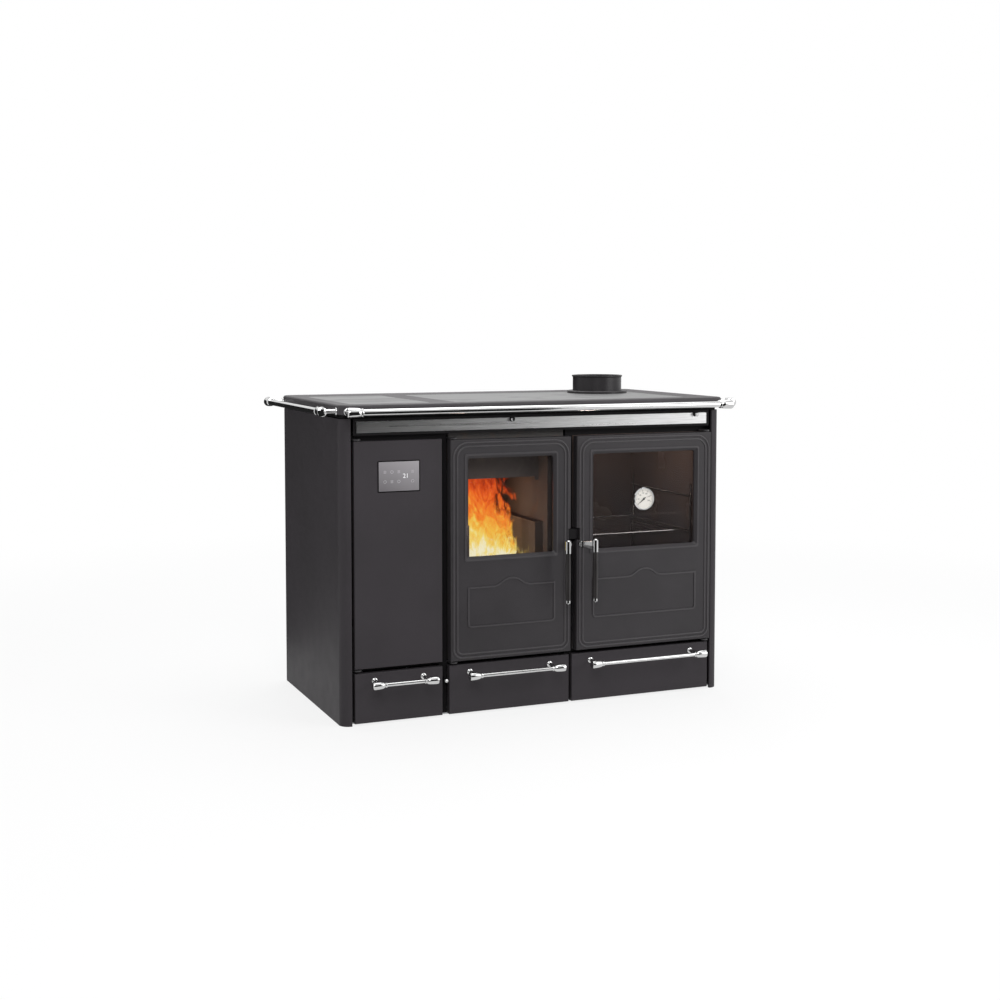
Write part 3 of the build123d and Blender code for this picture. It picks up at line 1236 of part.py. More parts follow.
def oven_space():
    """The room inside the oven."""
    return block(grow((LINER_LEFT, LINER_RIGHT), -OVEN_SHEET),
                 (UPRIGHT_FRONT - OVERCUT, LINER_BACK - OVEN_SHEET),
                 (LINER_BOTTOM + OVEN_SHEET, LINER_TOP - 2 * OVEN_SHEET))


def oven_runners():
    """A wire ladder on each side wall, whose rungs carry the rack and the tray."""
    y = (SHELF_START,
         LINER_BACK - OVEN_SHEET - RUNNER_END_MARGIN)
    floor = LINER_BOTTOM + OVEN_SHEET
    top = RUNNER_LEVEL_HEIGHTS[-1] + RUNNER_FIRST_LEVEL / 2
    ladders = []
    for wall, way in ((LINER_LEFT + OVEN_SHEET, 1), (LINER_RIGHT - OVEN_SHEET, -1)):
        post_x = wall + way * (RUNNER_WIRE + RUNNER_WALL_GAP)
        rail_x = wall + way * RUNNER_STAND_OFF
        ladder = None
        for post_y in y:
            post = round_bar((post_x, post_y, floor), (post_x, post_y, top), RUNNER_WIRE)
            ladder = post if ladder is None else ladder + post
        for height in RUNNER_LEVEL_HEIGHTS:
            z = height - RUNNER_WIRE
            for post_y in y:
                ladder += round_bar((post_x, post_y, z), (rail_x, post_y, z), RUNNER_LINK)
            ladder += round_bar((rail_x, y[0] - RUNNER_WIRE, z), (rail_x, y[1] + RUNNER_WIRE, z),
                                RUNNER_WIRE)
        ladders.append(ladder)
    return Compound(ladders)


def shelf_limits():
    """How far a rack or a tray reaches between the side walls and from front to back."""
    x = grow((LINER_LEFT, LINER_RIGHT), -OVEN_SHEET - RACK_SIDE_GAP)
    return x, (SHELF_START, SHELF_START + RACK_DEPTH)


def oven_rack():
    """A wire rack: a stout frame with thinner bars from front to back."""
    x, y = shelf_limits()
    z = RUNNER_LEVEL_HEIGHTS[2] + RACK_WIRE + SHELF_GAP
    inner_x = grow(x, -RUNNER_STAND_OFF)
    rack = round_bar((x[0], y[0], z), (x[1], y[0], z), RACK_WIRE)
    rack += round_bar((x[0], y[1], z), (x[1], y[1], z), RACK_WIRE)
    for step in range(RACK_BARS):
        bar_x = inner_x[0] + (inner_x[1] - inner_x[0]) * step / (RACK_BARS - 1)
        rack += round_bar((bar_x, y[0], z), (bar_x, y[1], z), RACK_BAR)
    return rack


def baking_tray():
    """A shallow tray whose rim lies on the rungs."""
    x, y = shelf_limits()
    z = RUNNER_LEVEL_HEIGHTS[1] + SHELF_GAP
    rim_x = x
    pan_x = grow(x, -RUNNER_STAND_OFF - RUNNER_WIRE - RACK_SIDE_GAP)
    rim = block(rim_x, y, (z, z + BAKING_TRAY_SHEET))
    pan = block(pan_x, grow(y, -BAKING_TRAY_RIM), (z - BAKING_TRAY_HEIGHT, z + BAKING_TRAY_SHEET))
    inside = block(grow(pan_x, -BAKING_TRAY_SHEET),
                   grow(y, -BAKING_TRAY_RIM - BAKING_TRAY_SHEET),
                   (z - BAKING_TRAY_HEIGHT + BAKING_TRAY_SHEET, z + 2 * BAKING_TRAY_SHEET))
    return rim + pan - inside


# Oven thermometer

def thermometer_case():
    """The round case on the oven's pane, with its stem through the pane and the needle's pin."""
    inner = DIAL_RADIUS - DIAL_RIM
    floor = DIAL_DEPTH - DIAL_FACE_DEPTH - DIAL_FACE_THICKNESS
    profile = [
        (0, 0), (DIAL_RADIUS - 2, 0), (DIAL_RADIUS, 2), (DIAL_RADIUS, DIAL_DEPTH - 2),
        (DIAL_RADIUS - 2, DIAL_DEPTH), (inner, DIAL_DEPTH), (inner, floor),
        (NEEDLE_PIN_RADIUS, floor), (NEEDLE_PIN_RADIUS, needle_level() + 2 * NEEDLE_THICKNESS),
        (0, needle_level() + 2 * NEEDLE_THICKNESS),
    ]
    place = (OVEN_MIDDLE, CAST_PLATE_BACK, DIAL_Z)
    case = turned(profile, place, (0, -1, 0))
    return case + round_bar(place, (OVEN_MIDDLE, CAST_PLATE_BACK + DIAL_STEM_LENGTH, DIAL_Z),
                            DIAL_STEM_RADIUS)


def needle_level():
    """How far the needle stands in front of the pane."""
    return DIAL_DEPTH - DIAL_FACE_DEPTH + NEEDLE_STAND_OFF


def thermometer_dial():
    """The flat dial in the case, with a hole for the needle's pin."""
    level = CAST_PLATE_BACK - DIAL_DEPTH + DIAL_FACE_DEPTH + DIAL_FACE_THICKNESS
    disc = Circle(DIAL_RADIUS - DIAL_RIM) - Circle(NEEDLE_PIN_RADIUS + NEEDLE_PIN_CLEARANCE)
    return extrude(front_plane(level) * (Pos(OVEN_MIDDLE, DIAL_Z) * disc), DIAL_FACE_THICKNESS)


def thermometer_needle():
    """The needle: a hub with a long point and a short balancing tail."""
    shape = Circle(NEEDLE_HUB_RADIUS) + make_face(Polyline(
        (-NEEDLE_WIDTH / 2, 0), (0, -NEEDLE_TAIL), (NEEDLE_WIDTH / 2, 0), (0, NEEDLE_LENGTH),
        close=True))
    shape -= Circle(NEEDLE_PIN_RADIUS + NEEDLE_PIN_CLEARANCE)
    place = Pos(OVEN_MIDDLE, DIAL_Z) * Rot(0, 0, NEEDLE_REST_ANGLE)
    level = CAST_PLATE_BACK - needle_level()
    return extrude(front_plane(level) * (place * shape), NEEDLE_THICKNESS)


# Technical compartment

def expansion_vessel():
    """A flat round vessel on a short stem from the partition."""
    half = VESSEL_WIDTH / 2
    rim = VESSEL_RADIUS
    wall = COLUMN_MIDDLE - PARTITION_SHEET / 2
    start = wall - VESSEL_SIDE_GAP
    profile = [
        (0, 0), (rim * 0.45, VESSEL_CROWN), (rim * 0.8, VESSEL_DOME * 0.5), (rim, VESSEL_DOME),
        (rim, VESSEL_WIDTH - VESSEL_DOME), (rim * 0.8, VESSEL_WIDTH - VESSEL_DOME * 0.5),
        (rim * 0.45, VESSEL_WIDTH - VESSEL_CROWN), (0, VESSEL_WIDTH),
    ]
    vessel = turned(profile, (start, VESSEL_Y, VESSEL_Z), (-1, 0, 0))
    return vessel + round_bar((wall, VESSEL_Y, VESSEL_Z), (start - half, VESSEL_Y, VESSEL_Z),
                              VESSEL_STEM_RADIUS)


def circulation_pump():
    """The pump: a round body between two pipe flanges, with its motor at the left."""
    centre = (PUMP_X, PUMP_Y, PUMP_Z)
    half = PUMP_BODY_LENGTH / 2
    pump = round_bar((PUMP_X - half, PUMP_Y, PUMP_Z), (PUMP_X + half, PUMP_Y, PUMP_Z),
                     PUMP_BODY_RADIUS)
    pump += round_bar((PUMP_X - half - PUMP_MOTOR_LENGTH, PUMP_Y, PUMP_Z), centre,
                      PUMP_MOTOR_RADIUS)
    pump += round_bar((PUMP_X, PUMP_Y, PUMP_Z - PUMP_HALF_HEIGHT),
                      (PUMP_X, PUMP_Y, PUMP_Z + PUMP_HALF_HEIGHT), PIPE_RADIUS)
    for way in (-1, 1):
        end = PUMP_Z + way * PUMP_HALF_HEIGHT
        pump += round_bar((PUMP_X, PUMP_Y, end - way * PUMP_FLANGE_THICKNESS),
                          (PUMP_X, PUMP_Y, end), PUMP_FLANGE_RADIUS)
    return pump


def bent_pipe(points):
    """A pipe along straight runs joined by round bends."""
    path = FilletPolyline(*points, radius=PIPE_BEND)
    start = Vector(*points[0])
    section = Plane(origin=start, z_dir=Vector(*points[1]) - start) * Circle(PIPE_RADIUS)
    return sweep(section, path=path)


def pipework():
    """The return pipe: from the back up into the pump, and on through the partition."""
    below = [(PUMP_X, BACK_PANEL_FRONT - NIPPLE_HEX_LENGTH, RETURN_Z), (PUMP_X, PUMP_Y, RETURN_Z),
             (PUMP_X, PUMP_Y, PUMP_Z - PUMP_HALF_HEIGHT)]
    above = [(PUMP_X, PUMP_Y, PUMP_Z + PUMP_HALF_HEIGHT), (PUMP_X, PUMP_Y, JACKET_RETURN_Z),
             (JACKET_LEFT, PUMP_Y, JACKET_RETURN_Z)]
    return Compound([bent_pipe(below), bent_pipe(above)])


def control_box():
    """The electronics box on the partition behind the technical door."""
    wall = COLUMN_MIDDLE - PARTITION_SHEET / 2
    box = block((wall - BOX_WIDTH, wall), (BOX_Y, BOX_Y + BOX_DEPTH), (BOX_Z, BOX_Z + BOX_HEIGHT))
    return fillet(box.faces().sort_by(Axis.X)[0].edges(), BOX_ROUND)


# Connections at the back

def nipple_places():
    """Middle and thread radius of each water connection: x, z and radius."""
    places = [(PUMP_X, RETURN_Z, NIPPLE_RADIUS), (FLOW_X, FLOW_Z, NIPPLE_RADIUS)]
    for step in (0, 1):
        places.append((DISCHARGE_X, DISCHARGE_Z - DISCHARGE_PITCH * step, SMALL_NIPPLE_RADIUS))
    return places


def water_nipple(x, z, start, radius, bore, hex_radius):
    """A male thread with a hexagon inside the back sheet, from its start to the open."""
    hexagon_back = BACK_PANEL_FRONT
    hexagon = front_plane(hexagon_back) * (Pos(x, z) * RegularPolygon(hex_radius, 6))
    nipple = extrude(hexagon, NIPPLE_HEX_LENGTH)
    nipple += round_bar((x, start, z), (x, BACK, z), radius - NIPPLE_NECK_STEP)
    nipple += round_bar((x, BACK, z), (x, BACK + NIPPLE_PROUD, z), radius)
    mouth = max(hexagon_back, start)
    return nipple - round_bar((x, mouth, z), (x, BACK + NIPPLE_PROUD + OVERCUT, z), bore)


def water_connections():
    """The return to the pump, the flow from the jacket, and the cooling coil's two ends."""
    pump_start = BACK_PANEL_FRONT - NIPPLE_HEX_LENGTH
    x, z, radius = nipple_places()[0]
    nipples = [water_nipple(x, z, pump_start, radius, NIPPLE_BORE, NIPPLE_HEX_RADIUS)]
    x, z, radius = nipple_places()[1]
    nipples.append(water_nipple(x, z, JACKET_BACK, radius, NIPPLE_BORE, NIPPLE_HEX_RADIUS))
    for x, z, radius in nipple_places()[2:]:
        nipples.append(water_nipple(x, z, JACKET_BACK, radius, SMALL_NIPPLE_BORE,
                                    SMALL_NIPPLE_HEX_RADIUS))
    return Compound(nipples)


def mains_inlet():
    """The mains inlet in the back sheet: a flanged body with a plain socket."""
    x = (INLET_X - INLET_WIDTH / 2, INLET_X + INLET_WIDTH / 2)
    z = (INLET_Z - INLET_HEIGHT / 2, INLET_Z + INLET_HEIGHT / 2)
    back = BACK - SHEET
    inlet = block(grow(x, -DISPLAY_CASE_GAP), (back - INLET_DEPTH, back), grow(z, -DISPLAY_CASE_GAP))
    inlet += block(grow(x, INLET_FLANGE), (back, back + INLET_PROUD), grow(z, INLET_FLANGE))
    socket_x = (INLET_X - INLET_SOCKET_WIDTH / 2, INLET_X + INLET_SOCKET_WIDTH / 2)
    socket_z = (INLET_Z - INLET_SOCKET_HEIGHT / 2, INLET_Z + INLET_SOCKET_HEIGHT / 2)
    return inlet - block(socket_x, (back + INLET_PROUD - INLET_SOCKET_DEPTH, BACK + INLET_PROUD),
                         socket_z)


FIRE_DOOR = (FIRE_LEFT, FIRE_RIGHT)
OVEN_DOOR = (OVEN_LEFT, OVEN_RIGHT)
LEFT_DRAWER = (TECH_LEFT, TECH_RIGHT)
MIDDLE_DRAWER = FIRE_DOOR
RIGHT_DRAWER = (FIRE_RIGHT + DRAWER_GAP, OVEN_RIGHT)

NODES = {
    "base_plate": base_plate(),
    "levelling_screws": levelling_screws(),
    "side_panel_left": side_panel(-1),
    "side_panel_right": side_panel(1),
    "back_panel": back_panel(),
    "casing_frame": casing_frame(),
    "inner_partitions": inner_partitions(),
    "fascia": fascia(),
    "steel_band": steel_band(),
    "worktop_frame": worktop_frame(),
    "warming_plate": top_plate(WARM_PLATE),
    "cooking_plate": cooking_plate(),
    "flue_collar": flue_collar(),
    "guard_rails": guard_rails(),
    "rail_fittings": rail_fittings(),
    "door_hinges": door_hinges(),
    "latch_strike": latch_strike(),
    "drawer_runners": drawer_runners(),
    "boiler_jacket": boiler_jacket(),
    "firebrick_lining": firebrick_lining(),
    "fire_grate": fire_grate(),
    "smoke_baffle": smoke_baffle(),
    "ash_pan": ash_pan(),
    "oven_liner": oven_liner(),
    "oven_runners": oven_runners(),
    "oven_rack": oven_rack(),
    "baking_tray": baking_tray(),
    "expansion_vessel": expansion_vessel(),
    "circulation_pump": circulation_pump(),
    "pipework": pipework(),
    "control_box": control_box(),
    "water_connections": water_connections(),
    "mains_inlet": mains_inlet(),
    "smoke_damper_rod": control_rod(SMOKE_ROD_X, SMOKE_ROD_LENGTH),
    "secondary_air_rod": control_rod(AIR_ROD_X, AIR_ROD_LENGTH),
    "primary_air_rod": primary_air_rod(),
    "tech_door_panel": tech_door_panel(),
    "touch_display": touch_display(),
    "firebox_door_casting": cast_door(FIRE_DOOR, -1),
    "firebox_door_glass": door_glass(FIRE_DOOR),
    "firebox_door_gasket": door_gasket(FIRE_DOOR),
    "firebox_door_lever": door_lever(-1),
    "firebox_lever_grip": lever_grip(-1),
    "oven_door_casting": cast_door(OVEN_DOOR, 1),
    "oven_door_glass": oven_glass(),
    "oven_door_gasket": door_gasket(OVEN_DOOR),
    "oven_door_lever": door_lever(1),
    "oven_lever_grip": lever_grip(1),
    "thermometer_case": thermometer_case(),
    "thermometer_dial": thermometer_dial(),
    "thermometer_needle": thermometer_needle(),
}
for name, x, bay, handle in (
    ("left", LEFT_DRAWER, TECH_BAY, LEFT_HANDLE),
    ("middle", MIDDLE_DRAWER, FIRE_BAY, MIDDLE_HANDLE),
    ("right", RIGHT_DRAWER, OVEN_BAY, RIGHT_HANDLE),
):
    NODES[f"drawer_{name}_front"] = drawer_front(x)
    NODES[f"drawer_{name}_tray"] = drawer_tray(bay)
    NODES[f"drawer_{name}_handle"] = drawer_handle((x[0] + x[1]) / 2, handle)

os.makedirs("parts", exist_ok=True)
for node, shape in NODES.items():
    export_step(shape, f"parts/{node}.step")
print(len(NODES), "parts written")
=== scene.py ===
import json
import math

import bpy
from mathutils import Matrix, Vector, noise


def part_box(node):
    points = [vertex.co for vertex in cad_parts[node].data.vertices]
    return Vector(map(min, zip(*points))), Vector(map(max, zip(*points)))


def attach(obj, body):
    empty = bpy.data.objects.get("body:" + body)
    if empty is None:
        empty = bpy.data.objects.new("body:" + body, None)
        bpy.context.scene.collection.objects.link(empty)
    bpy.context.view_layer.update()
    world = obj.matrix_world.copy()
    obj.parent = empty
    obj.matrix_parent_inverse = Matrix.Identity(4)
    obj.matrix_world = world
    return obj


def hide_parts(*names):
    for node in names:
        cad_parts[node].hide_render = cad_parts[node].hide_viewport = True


# A wood-burning cooker with a boiler, seen from its front left in a plain white studio.
# All sizes are in metres. +Z is up and the front faces -Y.

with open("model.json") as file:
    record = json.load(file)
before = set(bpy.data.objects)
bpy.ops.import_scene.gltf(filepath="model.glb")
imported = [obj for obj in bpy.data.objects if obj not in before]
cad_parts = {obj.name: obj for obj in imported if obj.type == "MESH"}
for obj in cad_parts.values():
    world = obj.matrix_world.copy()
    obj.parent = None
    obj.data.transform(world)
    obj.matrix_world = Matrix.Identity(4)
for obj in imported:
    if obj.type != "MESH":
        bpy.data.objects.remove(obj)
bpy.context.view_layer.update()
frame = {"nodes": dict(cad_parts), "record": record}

# Camera, fitted to the photograph: turn and dip in radians, the lens in millimetres
CAMERA_PLACE = (-1.6919, -4.0236, 1.0683)
CAMERA_TURN = 0.3981
CAMERA_DIP = 0.0639
CAMERA_LENS = 53.257
CAMERA_SHIFT = -0.080


def placed(name, data):
    """A new object for some data, put into the scene."""
    made = bpy.data.objects.new(name, data)
    bpy.context.scene.collection.objects.link(made)
    return made


def make_camera():
    data = bpy.data.cameras.new("camera")
    data.lens = CAMERA_LENS
    data.shift_y = CAMERA_SHIFT
    camera = placed("camera", data)
    camera.location = CAMERA_PLACE
    camera.rotation_euler = (math.pi / 2 - CAMERA_DIP, 0, -CAMERA_TURN)
    bpy.context.scene.camera = camera


make_camera()
bpy.context.scene.view_settings.view_transform = "Standard"


# Nodes

class Value:
    """A shader socket that takes part in arithmetic: each operator adds a Math node."""

    def __init__(self, nodes, socket):
        self.nodes = nodes
        self.socket = socket

    def math(self, operation, first, second):
        return self.nodes.node("Math", {"operation": operation}, {0: first, 1: second})

    def __add__(self, other):
        return self.math("ADD", self, other)

    def __mul__(self, other):
        return self.math("MULTIPLY", self, other)

    def __sub__(self, other):
        return self.math("SUBTRACT", self, other)

    def __rsub__(self, other):
        return self.math("SUBTRACT", other, self)

    __radd__ = __add__
    __rmul__ = __mul__

    def least(self, other):
        return self.math("MINIMUM", self, other)

    def most(self, other):
        return self.math("MAXIMUM", self, other)

    def rise(self, low, high):
        """0 below low, 1 above high, and smooth between them."""
        return self.nodes.node("MapRange", {"interpolation_type": "SMOOTHSTEP"},
                               {0: self, 1: low, 2: high})


class Nodes:
    """A node tree that is emptied and put together again."""

    def __init__(self, owner):
        owner.use_nodes = True
        self.tree = owner.node_tree
        self.tree.nodes.clear()

    def node(self, kind, settings=None, values=None, output=0):
        """One node: its settings, then the values or links of its sockets."""
        made = self.tree.nodes.new("ShaderNode" + kind)
        for key, setting in (settings or {}).items():
            if key == "stops":
                stops = made.color_ramp.elements
                while len(stops) < len(setting):
                    stops.new(0.5)
                for stop, (place, colour) in zip(stops, setting):
                    stop.position = place
                    stop.color = colour
            else:
                setattr(made, key, setting)
        for key, value in (values or {}).items():
            if isinstance(value, Value):
                self.tree.links.new(value.socket, made.inputs[key])
            else:
                made.inputs[key].default_value = value
        return Value(self, made.outputs[output]) if made.outputs else None


class Finish(Nodes):
    """A material's nodes, with the forms that most finishes need."""

    def __init__(self, name):
        self.material = bpy.data.materials.new(name)
        super().__init__(self.material)
        self.here = self.node("TexCoord", output="Object")

    def blend(self, factor, first, second):
        return self.node("Mix", {"data_type": "RGBA"}, {0: factor, 6: first, 7: second}, 2)

    def scaled(self, stretch, offset=0.0):
        """The place on the piece, stretched, and moved so that two noises differ."""
        moved = (offset, offset * 0.7, offset * 1.3)
        return self.node("VectorMath", {"operation": "MULTIPLY_ADD"},
                         {0: self.here, 1: stretch, 2: moved})

    def noise(self, scale, detail=2.0, stretch=(1, 1, 1), offset=0.0, swirl=0.0):
        return self.node("TexNoise", {}, {"Vector": self.scaled(stretch, offset),
                                          "Scale": scale, "Detail": detail,
                                          "Distortion": swirl})

    def axis(self, name):
        return self.node("SeparateXYZ", {}, {0: self.here}, name)

    def ramp(self, factor, stops):
        return self.node("ValToRGB", {"stops": stops}, {0: factor})

    def edge(self, radius):
        """1 along the sharp edges, 0 on the flats."""
        soft = self.node("Bevel", {"samples": 4}, {"Radius": radius}, "Normal")
        true = self.node("NewGeometry", output="Normal")
        along = self.node("VectorMath", {"operation": "DOT_PRODUCT"}, {0: soft, 1: true}, "Value")
        return (1 - along).rise(0.01, 0.25)

    def bump(self, height, distance, strength=1.0):
        return self.node("Bump", {}, {"Height": height, "Distance": distance,
                                      "Strength": strength}, "Normal")

    def principled(self, **sockets):
        named = {key.replace("_", " "): value for key, value in sockets.items()}
        if "IOR Level" in named:
            named["Specular IOR Level"] = named.pop("IOR Level")
        return self.node("BsdfPrincipled", {}, named)

    def done(self, shader):
        self.node("OutputMaterial", {}, {0: shader})
        return self.material


def grey(level, warmth=0.0):
    return (level * (1 + warmth), level, level * (1 - warmth), 1)


def tint(red, green, blue):
    return (red, green, blue, 1)


# Finishes. Noise scales are bumps per metre; the shine is the specular level of a surface.

PAINT_SHINE = 0.13
IRON_SHINE = 0.25
BURNT_SHINE = 0.3
DRY_SHINE = 0.2
GLASS_SHINE = 0.5
DOOR_FACE = -0.302


def stove_paint(name, level, gloss=0.5, grain=1300):
    """Baked paint on sheet: a fine even grain, faint clouding and slightly rubbed edges."""
    f = Finish(name)
    clouds = f.noise(4, 3).rise(0.35, 0.65)
    colour = f.blend(clouds, tint(level * 0.98, level * 0.88, level * 0.97),
                     tint(level * 1.08, level * 0.96, level * 1.07))
    lightened = f.edge(0.0012) * f.noise(60, 4, offset=3).rise(0.4, 0.7)
    colour = f.blend(lightened * 0.35, colour, grey(level * 3.2))
    dust = f.noise(220, 5, offset=9).rise(0.62, 0.8)
    colour = f.blend(dust * 0.10, colour, grey(level * 3.0, 0.05))
    rough = 0.12 * f.noise(22, 3, offset=5) + (gloss - 0.06)
    fine = f.noise(grain, 2)
    return f.done(f.principled(Base_Color=colour, Roughness=rough, IOR_Level=PAINT_SHINE,
                               Normal=f.bump(fine, 0.00025, 0.55)))


def cast_iron(name, level, gloss, sand=420, wear_and_highlight=0.5, proud=None):
    """Cast iron: sand-cast skin with small pits, lighter along its edges, partly where hands and
    cloths rub it and partly as a painted highlight.

    What stands out in front of the depth called proud gets the same painted highlight and
    rubbing.
    """
    f = Finish(name)
    skin = f.noise(sand, 6)
    pits = f.node("TexVoronoi", {}, {"Vector": f.here, "Scale": sand * 0.7}).rise(0.02, 0.30)
    clouds = f.noise(7, 4, offset=2).rise(0.3, 0.7)
    colour = f.blend(clouds, tint(level * 0.95, level * 0.86, level * 0.94),
                     tint(level * 1.12, level * 1.01, level * 1.11))
    colour = f.blend(skin.rise(0.45, 0.75) * 0.35, colour, grey(level * 1.5))
    # Lighter edges: partly rubbing wear, partly a painted highlight that makes the beads stand
    # out.
    lightened = f.edge(0.0026) * (f.noise(45, 4, offset=4).rise(0.25, 0.65) * 0.5 + 0.5)
    # Raised beads in front of the proud depth get the painted highlight too.
    if proud is not None:
        lightened = lightened.most((proud - f.axis("Y")).rise(0.0004, 0.0022))
    colour = f.blend(lightened * wear_and_highlight, colour, tint(level * 2.15, level * 2.0, level * 2.12))
    rough = 0.16 * skin + (gloss - 0.08) - 0.10 * lightened
    height = skin * 0.6 + pits * 0.4
    return f.done(f.principled(Base_Color=colour, Roughness=rough, IOR_Level=IRON_SHINE,
                               Normal=f.bump(height, 0.0005, 0.45)))


def ground_plate(name, level):
    """A ground iron hot plate: fine lengthwise scratches and a few heat marks."""
    f = Finish(name)
    scratches = f.noise(260, 5, stretch=(0.05, 1.6, 1))
    cross = f.noise(160, 3, stretch=(1.2, 0.08, 1), offset=6)
    marks = f.noise(6, 5, offset=1, swirl=0.6).rise(0.48, 0.72)
    colour = f.blend(marks, grey(level), tint(level * 0.80, level * 0.79, level * 0.80))
    colour = f.blend(scratches.rise(0.5, 0.8) * 0.45, colour, grey(level * 1.35))
    colour = f.blend(f.edge(0.002) * 0.4, colour, grey(level * 1.5))
    rough = 0.16 * scratches + 0.10 * marks + 0.34
    height = scratches * 0.7 + cross * 0.3
    return f.done(f.principled(Base_Color=colour, Roughness=rough, IOR_Level=IRON_SHINE,
                               Normal=f.bump(height, 0.0002, 0.35)))


def chrome(name, level=0.60, gloss=0.06):
    """Polished chrome with faint polishing haze and finger smears."""
    f = Finish(name)
    smears = f.noise(30, 4, swirl=1.0).rise(0.5, 0.8)
    haze = f.noise(240, 3, offset=4)
    colour = f.blend(smears, grey(level), grey(level * 0.88))
    colour = f.blend(haze.rise(0.55, 0.8) * 0.5, colour, grey(level * 0.8))
    rough = 0.07 * smears + 0.03 * haze + gloss
    return f.done(f.principled(Base_Color=colour, Metallic=1.0, Roughness=rough,
                               Normal=f.bump(haze, 0.00002, 0.15)))


def brushed_steel(name, level, stretch, gloss=0.27):
    """Brushed steel: hairlines along one direction."""
    f = Finish(name)
    lines = f.noise(900, 4, stretch=stretch)
    broad = f.noise(140, 3, stretch=stretch, offset=3)
    colour = f.blend(lines.rise(0.35, 0.7), grey(level * 0.86), grey(level * 1.10))
    rough = 0.16 * broad + (gloss - 0.05)
    return f.done(f.principled(Base_Color=colour, Metallic=1.0, Roughness=rough,
                               Normal=f.bump(lines, 0.00008, 0.5)))


def zinc_sheet(name):
    """Galvanised sheet with its crystal spangle."""
    f = Finish(name)
    spangle = f.node("TexVoronoi", {}, {"Vector": f.here, "Scale": 110}, "Color")
    shade = f.node("SeparateXYZ", {}, {0: spangle}, "X")
    dirt = f.noise(14, 5).rise(0.45, 0.75)
    colour = f.blend(shade, tint(0.30, 0.31, 0.32), tint(0.50, 0.51, 0.52))
    colour = f.blend(dirt * 0.45, colour, tint(0.20, 0.18, 0.16))
    rough = 0.25 * shade + 0.15 * dirt + 0.25
    return f.done(f.principled(Base_Color=colour, Metallic=0.85, Roughness=rough,
                               Normal=f.bump(f.noise(300, 3), 0.0001, 0.3)))


def oven_enamel(name):
    """Dark stove enamel with fine pale flecks, a wavy gloss and a painted brown reflection that
    grows towards the top.
    """
    f = Finish(name)
    flecks = f.node("TexVoronoi", {}, {"Vector": f.here, "Scale": 420}).rise(0.0, 0.16)
    baked = f.noise(9, 5, offset=2).rise(0.4, 0.75)
    colour = f.blend(flecks, tint(0.15, 0.15, 0.16), tint(0.060, 0.058, 0.062))
    colour = f.blend(baked * 0.5, colour, tint(0.090, 0.064, 0.048))
    # Painted reflection: a warm brown that grows towards the top of the oven.
    height = (f.axis("Z") - 0.42).rise(0.0, 0.32)
    colour = f.blend(height * 0.6, colour, tint(0.120, 0.082, 0.064))
    return f.done(f.principled(Base_Color=colour, Roughness=0.20 * baked + 0.12,
                               Normal=f.bump(f.noise(60, 2), 0.0004, 0.25)))


def boiler_plate(name):
    """Boiler plate: mill scale outside, soot and tan ash where the fire licks it."""
    f = Finish(name)
    scale = f.noise(120, 6)
    rust = f.noise(26, 5, offset=4).rise(0.52, 0.75)
    colour = f.blend(scale, tint(0.050, 0.047, 0.046), tint(0.085, 0.078, 0.074))
    colour = f.blend(rust * 0.45, colour, tint(0.12, 0.065, 0.038))
    return f.done(f.principled(Base_Color=colour, Roughness=0.3 * scale + 0.55,
                               IOR_Level=BURNT_SHINE, Normal=f.bump(scale, 0.0006, 0.5)))


def fireclay(name):
    """Fireclay slabs: sandy, chipped, and sooted towards the top."""
    f = Finish(name)
    sand = f.noise(500, 4)
    stains = f.noise(16, 6, offset=2, swirl=0.8)
    soot = (f.axis("Z") * 3.2 - 0.9 + stains * 0.8).rise(0.1, 0.9)
    colour = f.blend(sand, tint(0.21, 0.145, 0.090), tint(0.33, 0.245, 0.165))
    colour = f.blend(soot, colour, tint(0.070, 0.058, 0.050))
    chips = f.edge(0.004) * f.noise(90, 3, offset=7).rise(0.45, 0.6)
    colour = f.blend(chips * 0.6, colour, tint(0.38, 0.29, 0.20))
    return f.done(f.principled(Base_Color=colour, Roughness=0.92, IOR_Level=DRY_SHINE,
                               Normal=f.bump(sand * 0.6 + stains * 0.4, 0.0012, 0.6)))


def burnt_iron(name):
    """Iron in the fire: grey scale, brown oxide and ash."""
    f = Finish(name)
    scale = f.noise(150, 6)
    ash = f.noise(35, 5, offset=3).rise(0.5, 0.72)
    colour = f.blend(scale, tint(0.060, 0.057, 0.057), tint(0.105, 0.100, 0.098))
    colour = f.blend(ash * 0.35, colour, tint(0.16, 0.145, 0.13))
    return f.done(f.principled(Base_Color=colour, Roughness=0.25 * ash + 0.6,
                               IOR_Level=BURNT_SHINE, Normal=f.bump(scale, 0.0008, 0.5)))


def seal_rope(name):
    """Braided glass rope: a herringbone of strands."""
    f = Finish(name)
    strands = f.node("TexWave", {"wave_type": "BANDS", "bands_direction": "DIAGONAL"},
                     {"Vector": f.here, "Scale": 190, "Distortion": 2.5, "Detail": 2}, 1)
    counter = f.node("TexWave", {"wave_type": "BANDS", "bands_direction": "DIAGONAL"},
                     {"Vector": f.scaled((-1, 1, 1)), "Scale": 190, "Distortion": 2.5}, 1)
    weave = strands.most(counter)
    colour = f.blend(weave, tint(0.045, 0.043, 0.042), tint(0.16, 0.155, 0.15))
    return f.done(f.principled(Base_Color=colour, Roughness=0.95, IOR_Level=DRY_SHINE,
                               Normal=f.bump(weave, 0.0010, 0.8)))


def coloured_paint(name, colour, gloss=0.35):
    """Sprayed colour on a fitting, with scuffs and orange-peel."""
    f = Finish(name)
    scuffs = f.noise(55, 5, offset=2).rise(0.62, 0.8)
    darker = tuple(c * 0.75 for c in colour[:3]) + (1,)
    shade = f.blend(f.noise(10, 3).rise(0.3, 0.7), colour, darker)
    shade = f.blend(f.edge(0.002) * scuffs, shade, grey(0.25))
    return f.done(f.principled(Base_Color=shade, Roughness=0.15 * scuffs + gloss,
                               Normal=f.bump(f.noise(500, 2), 0.0002, 0.35)))


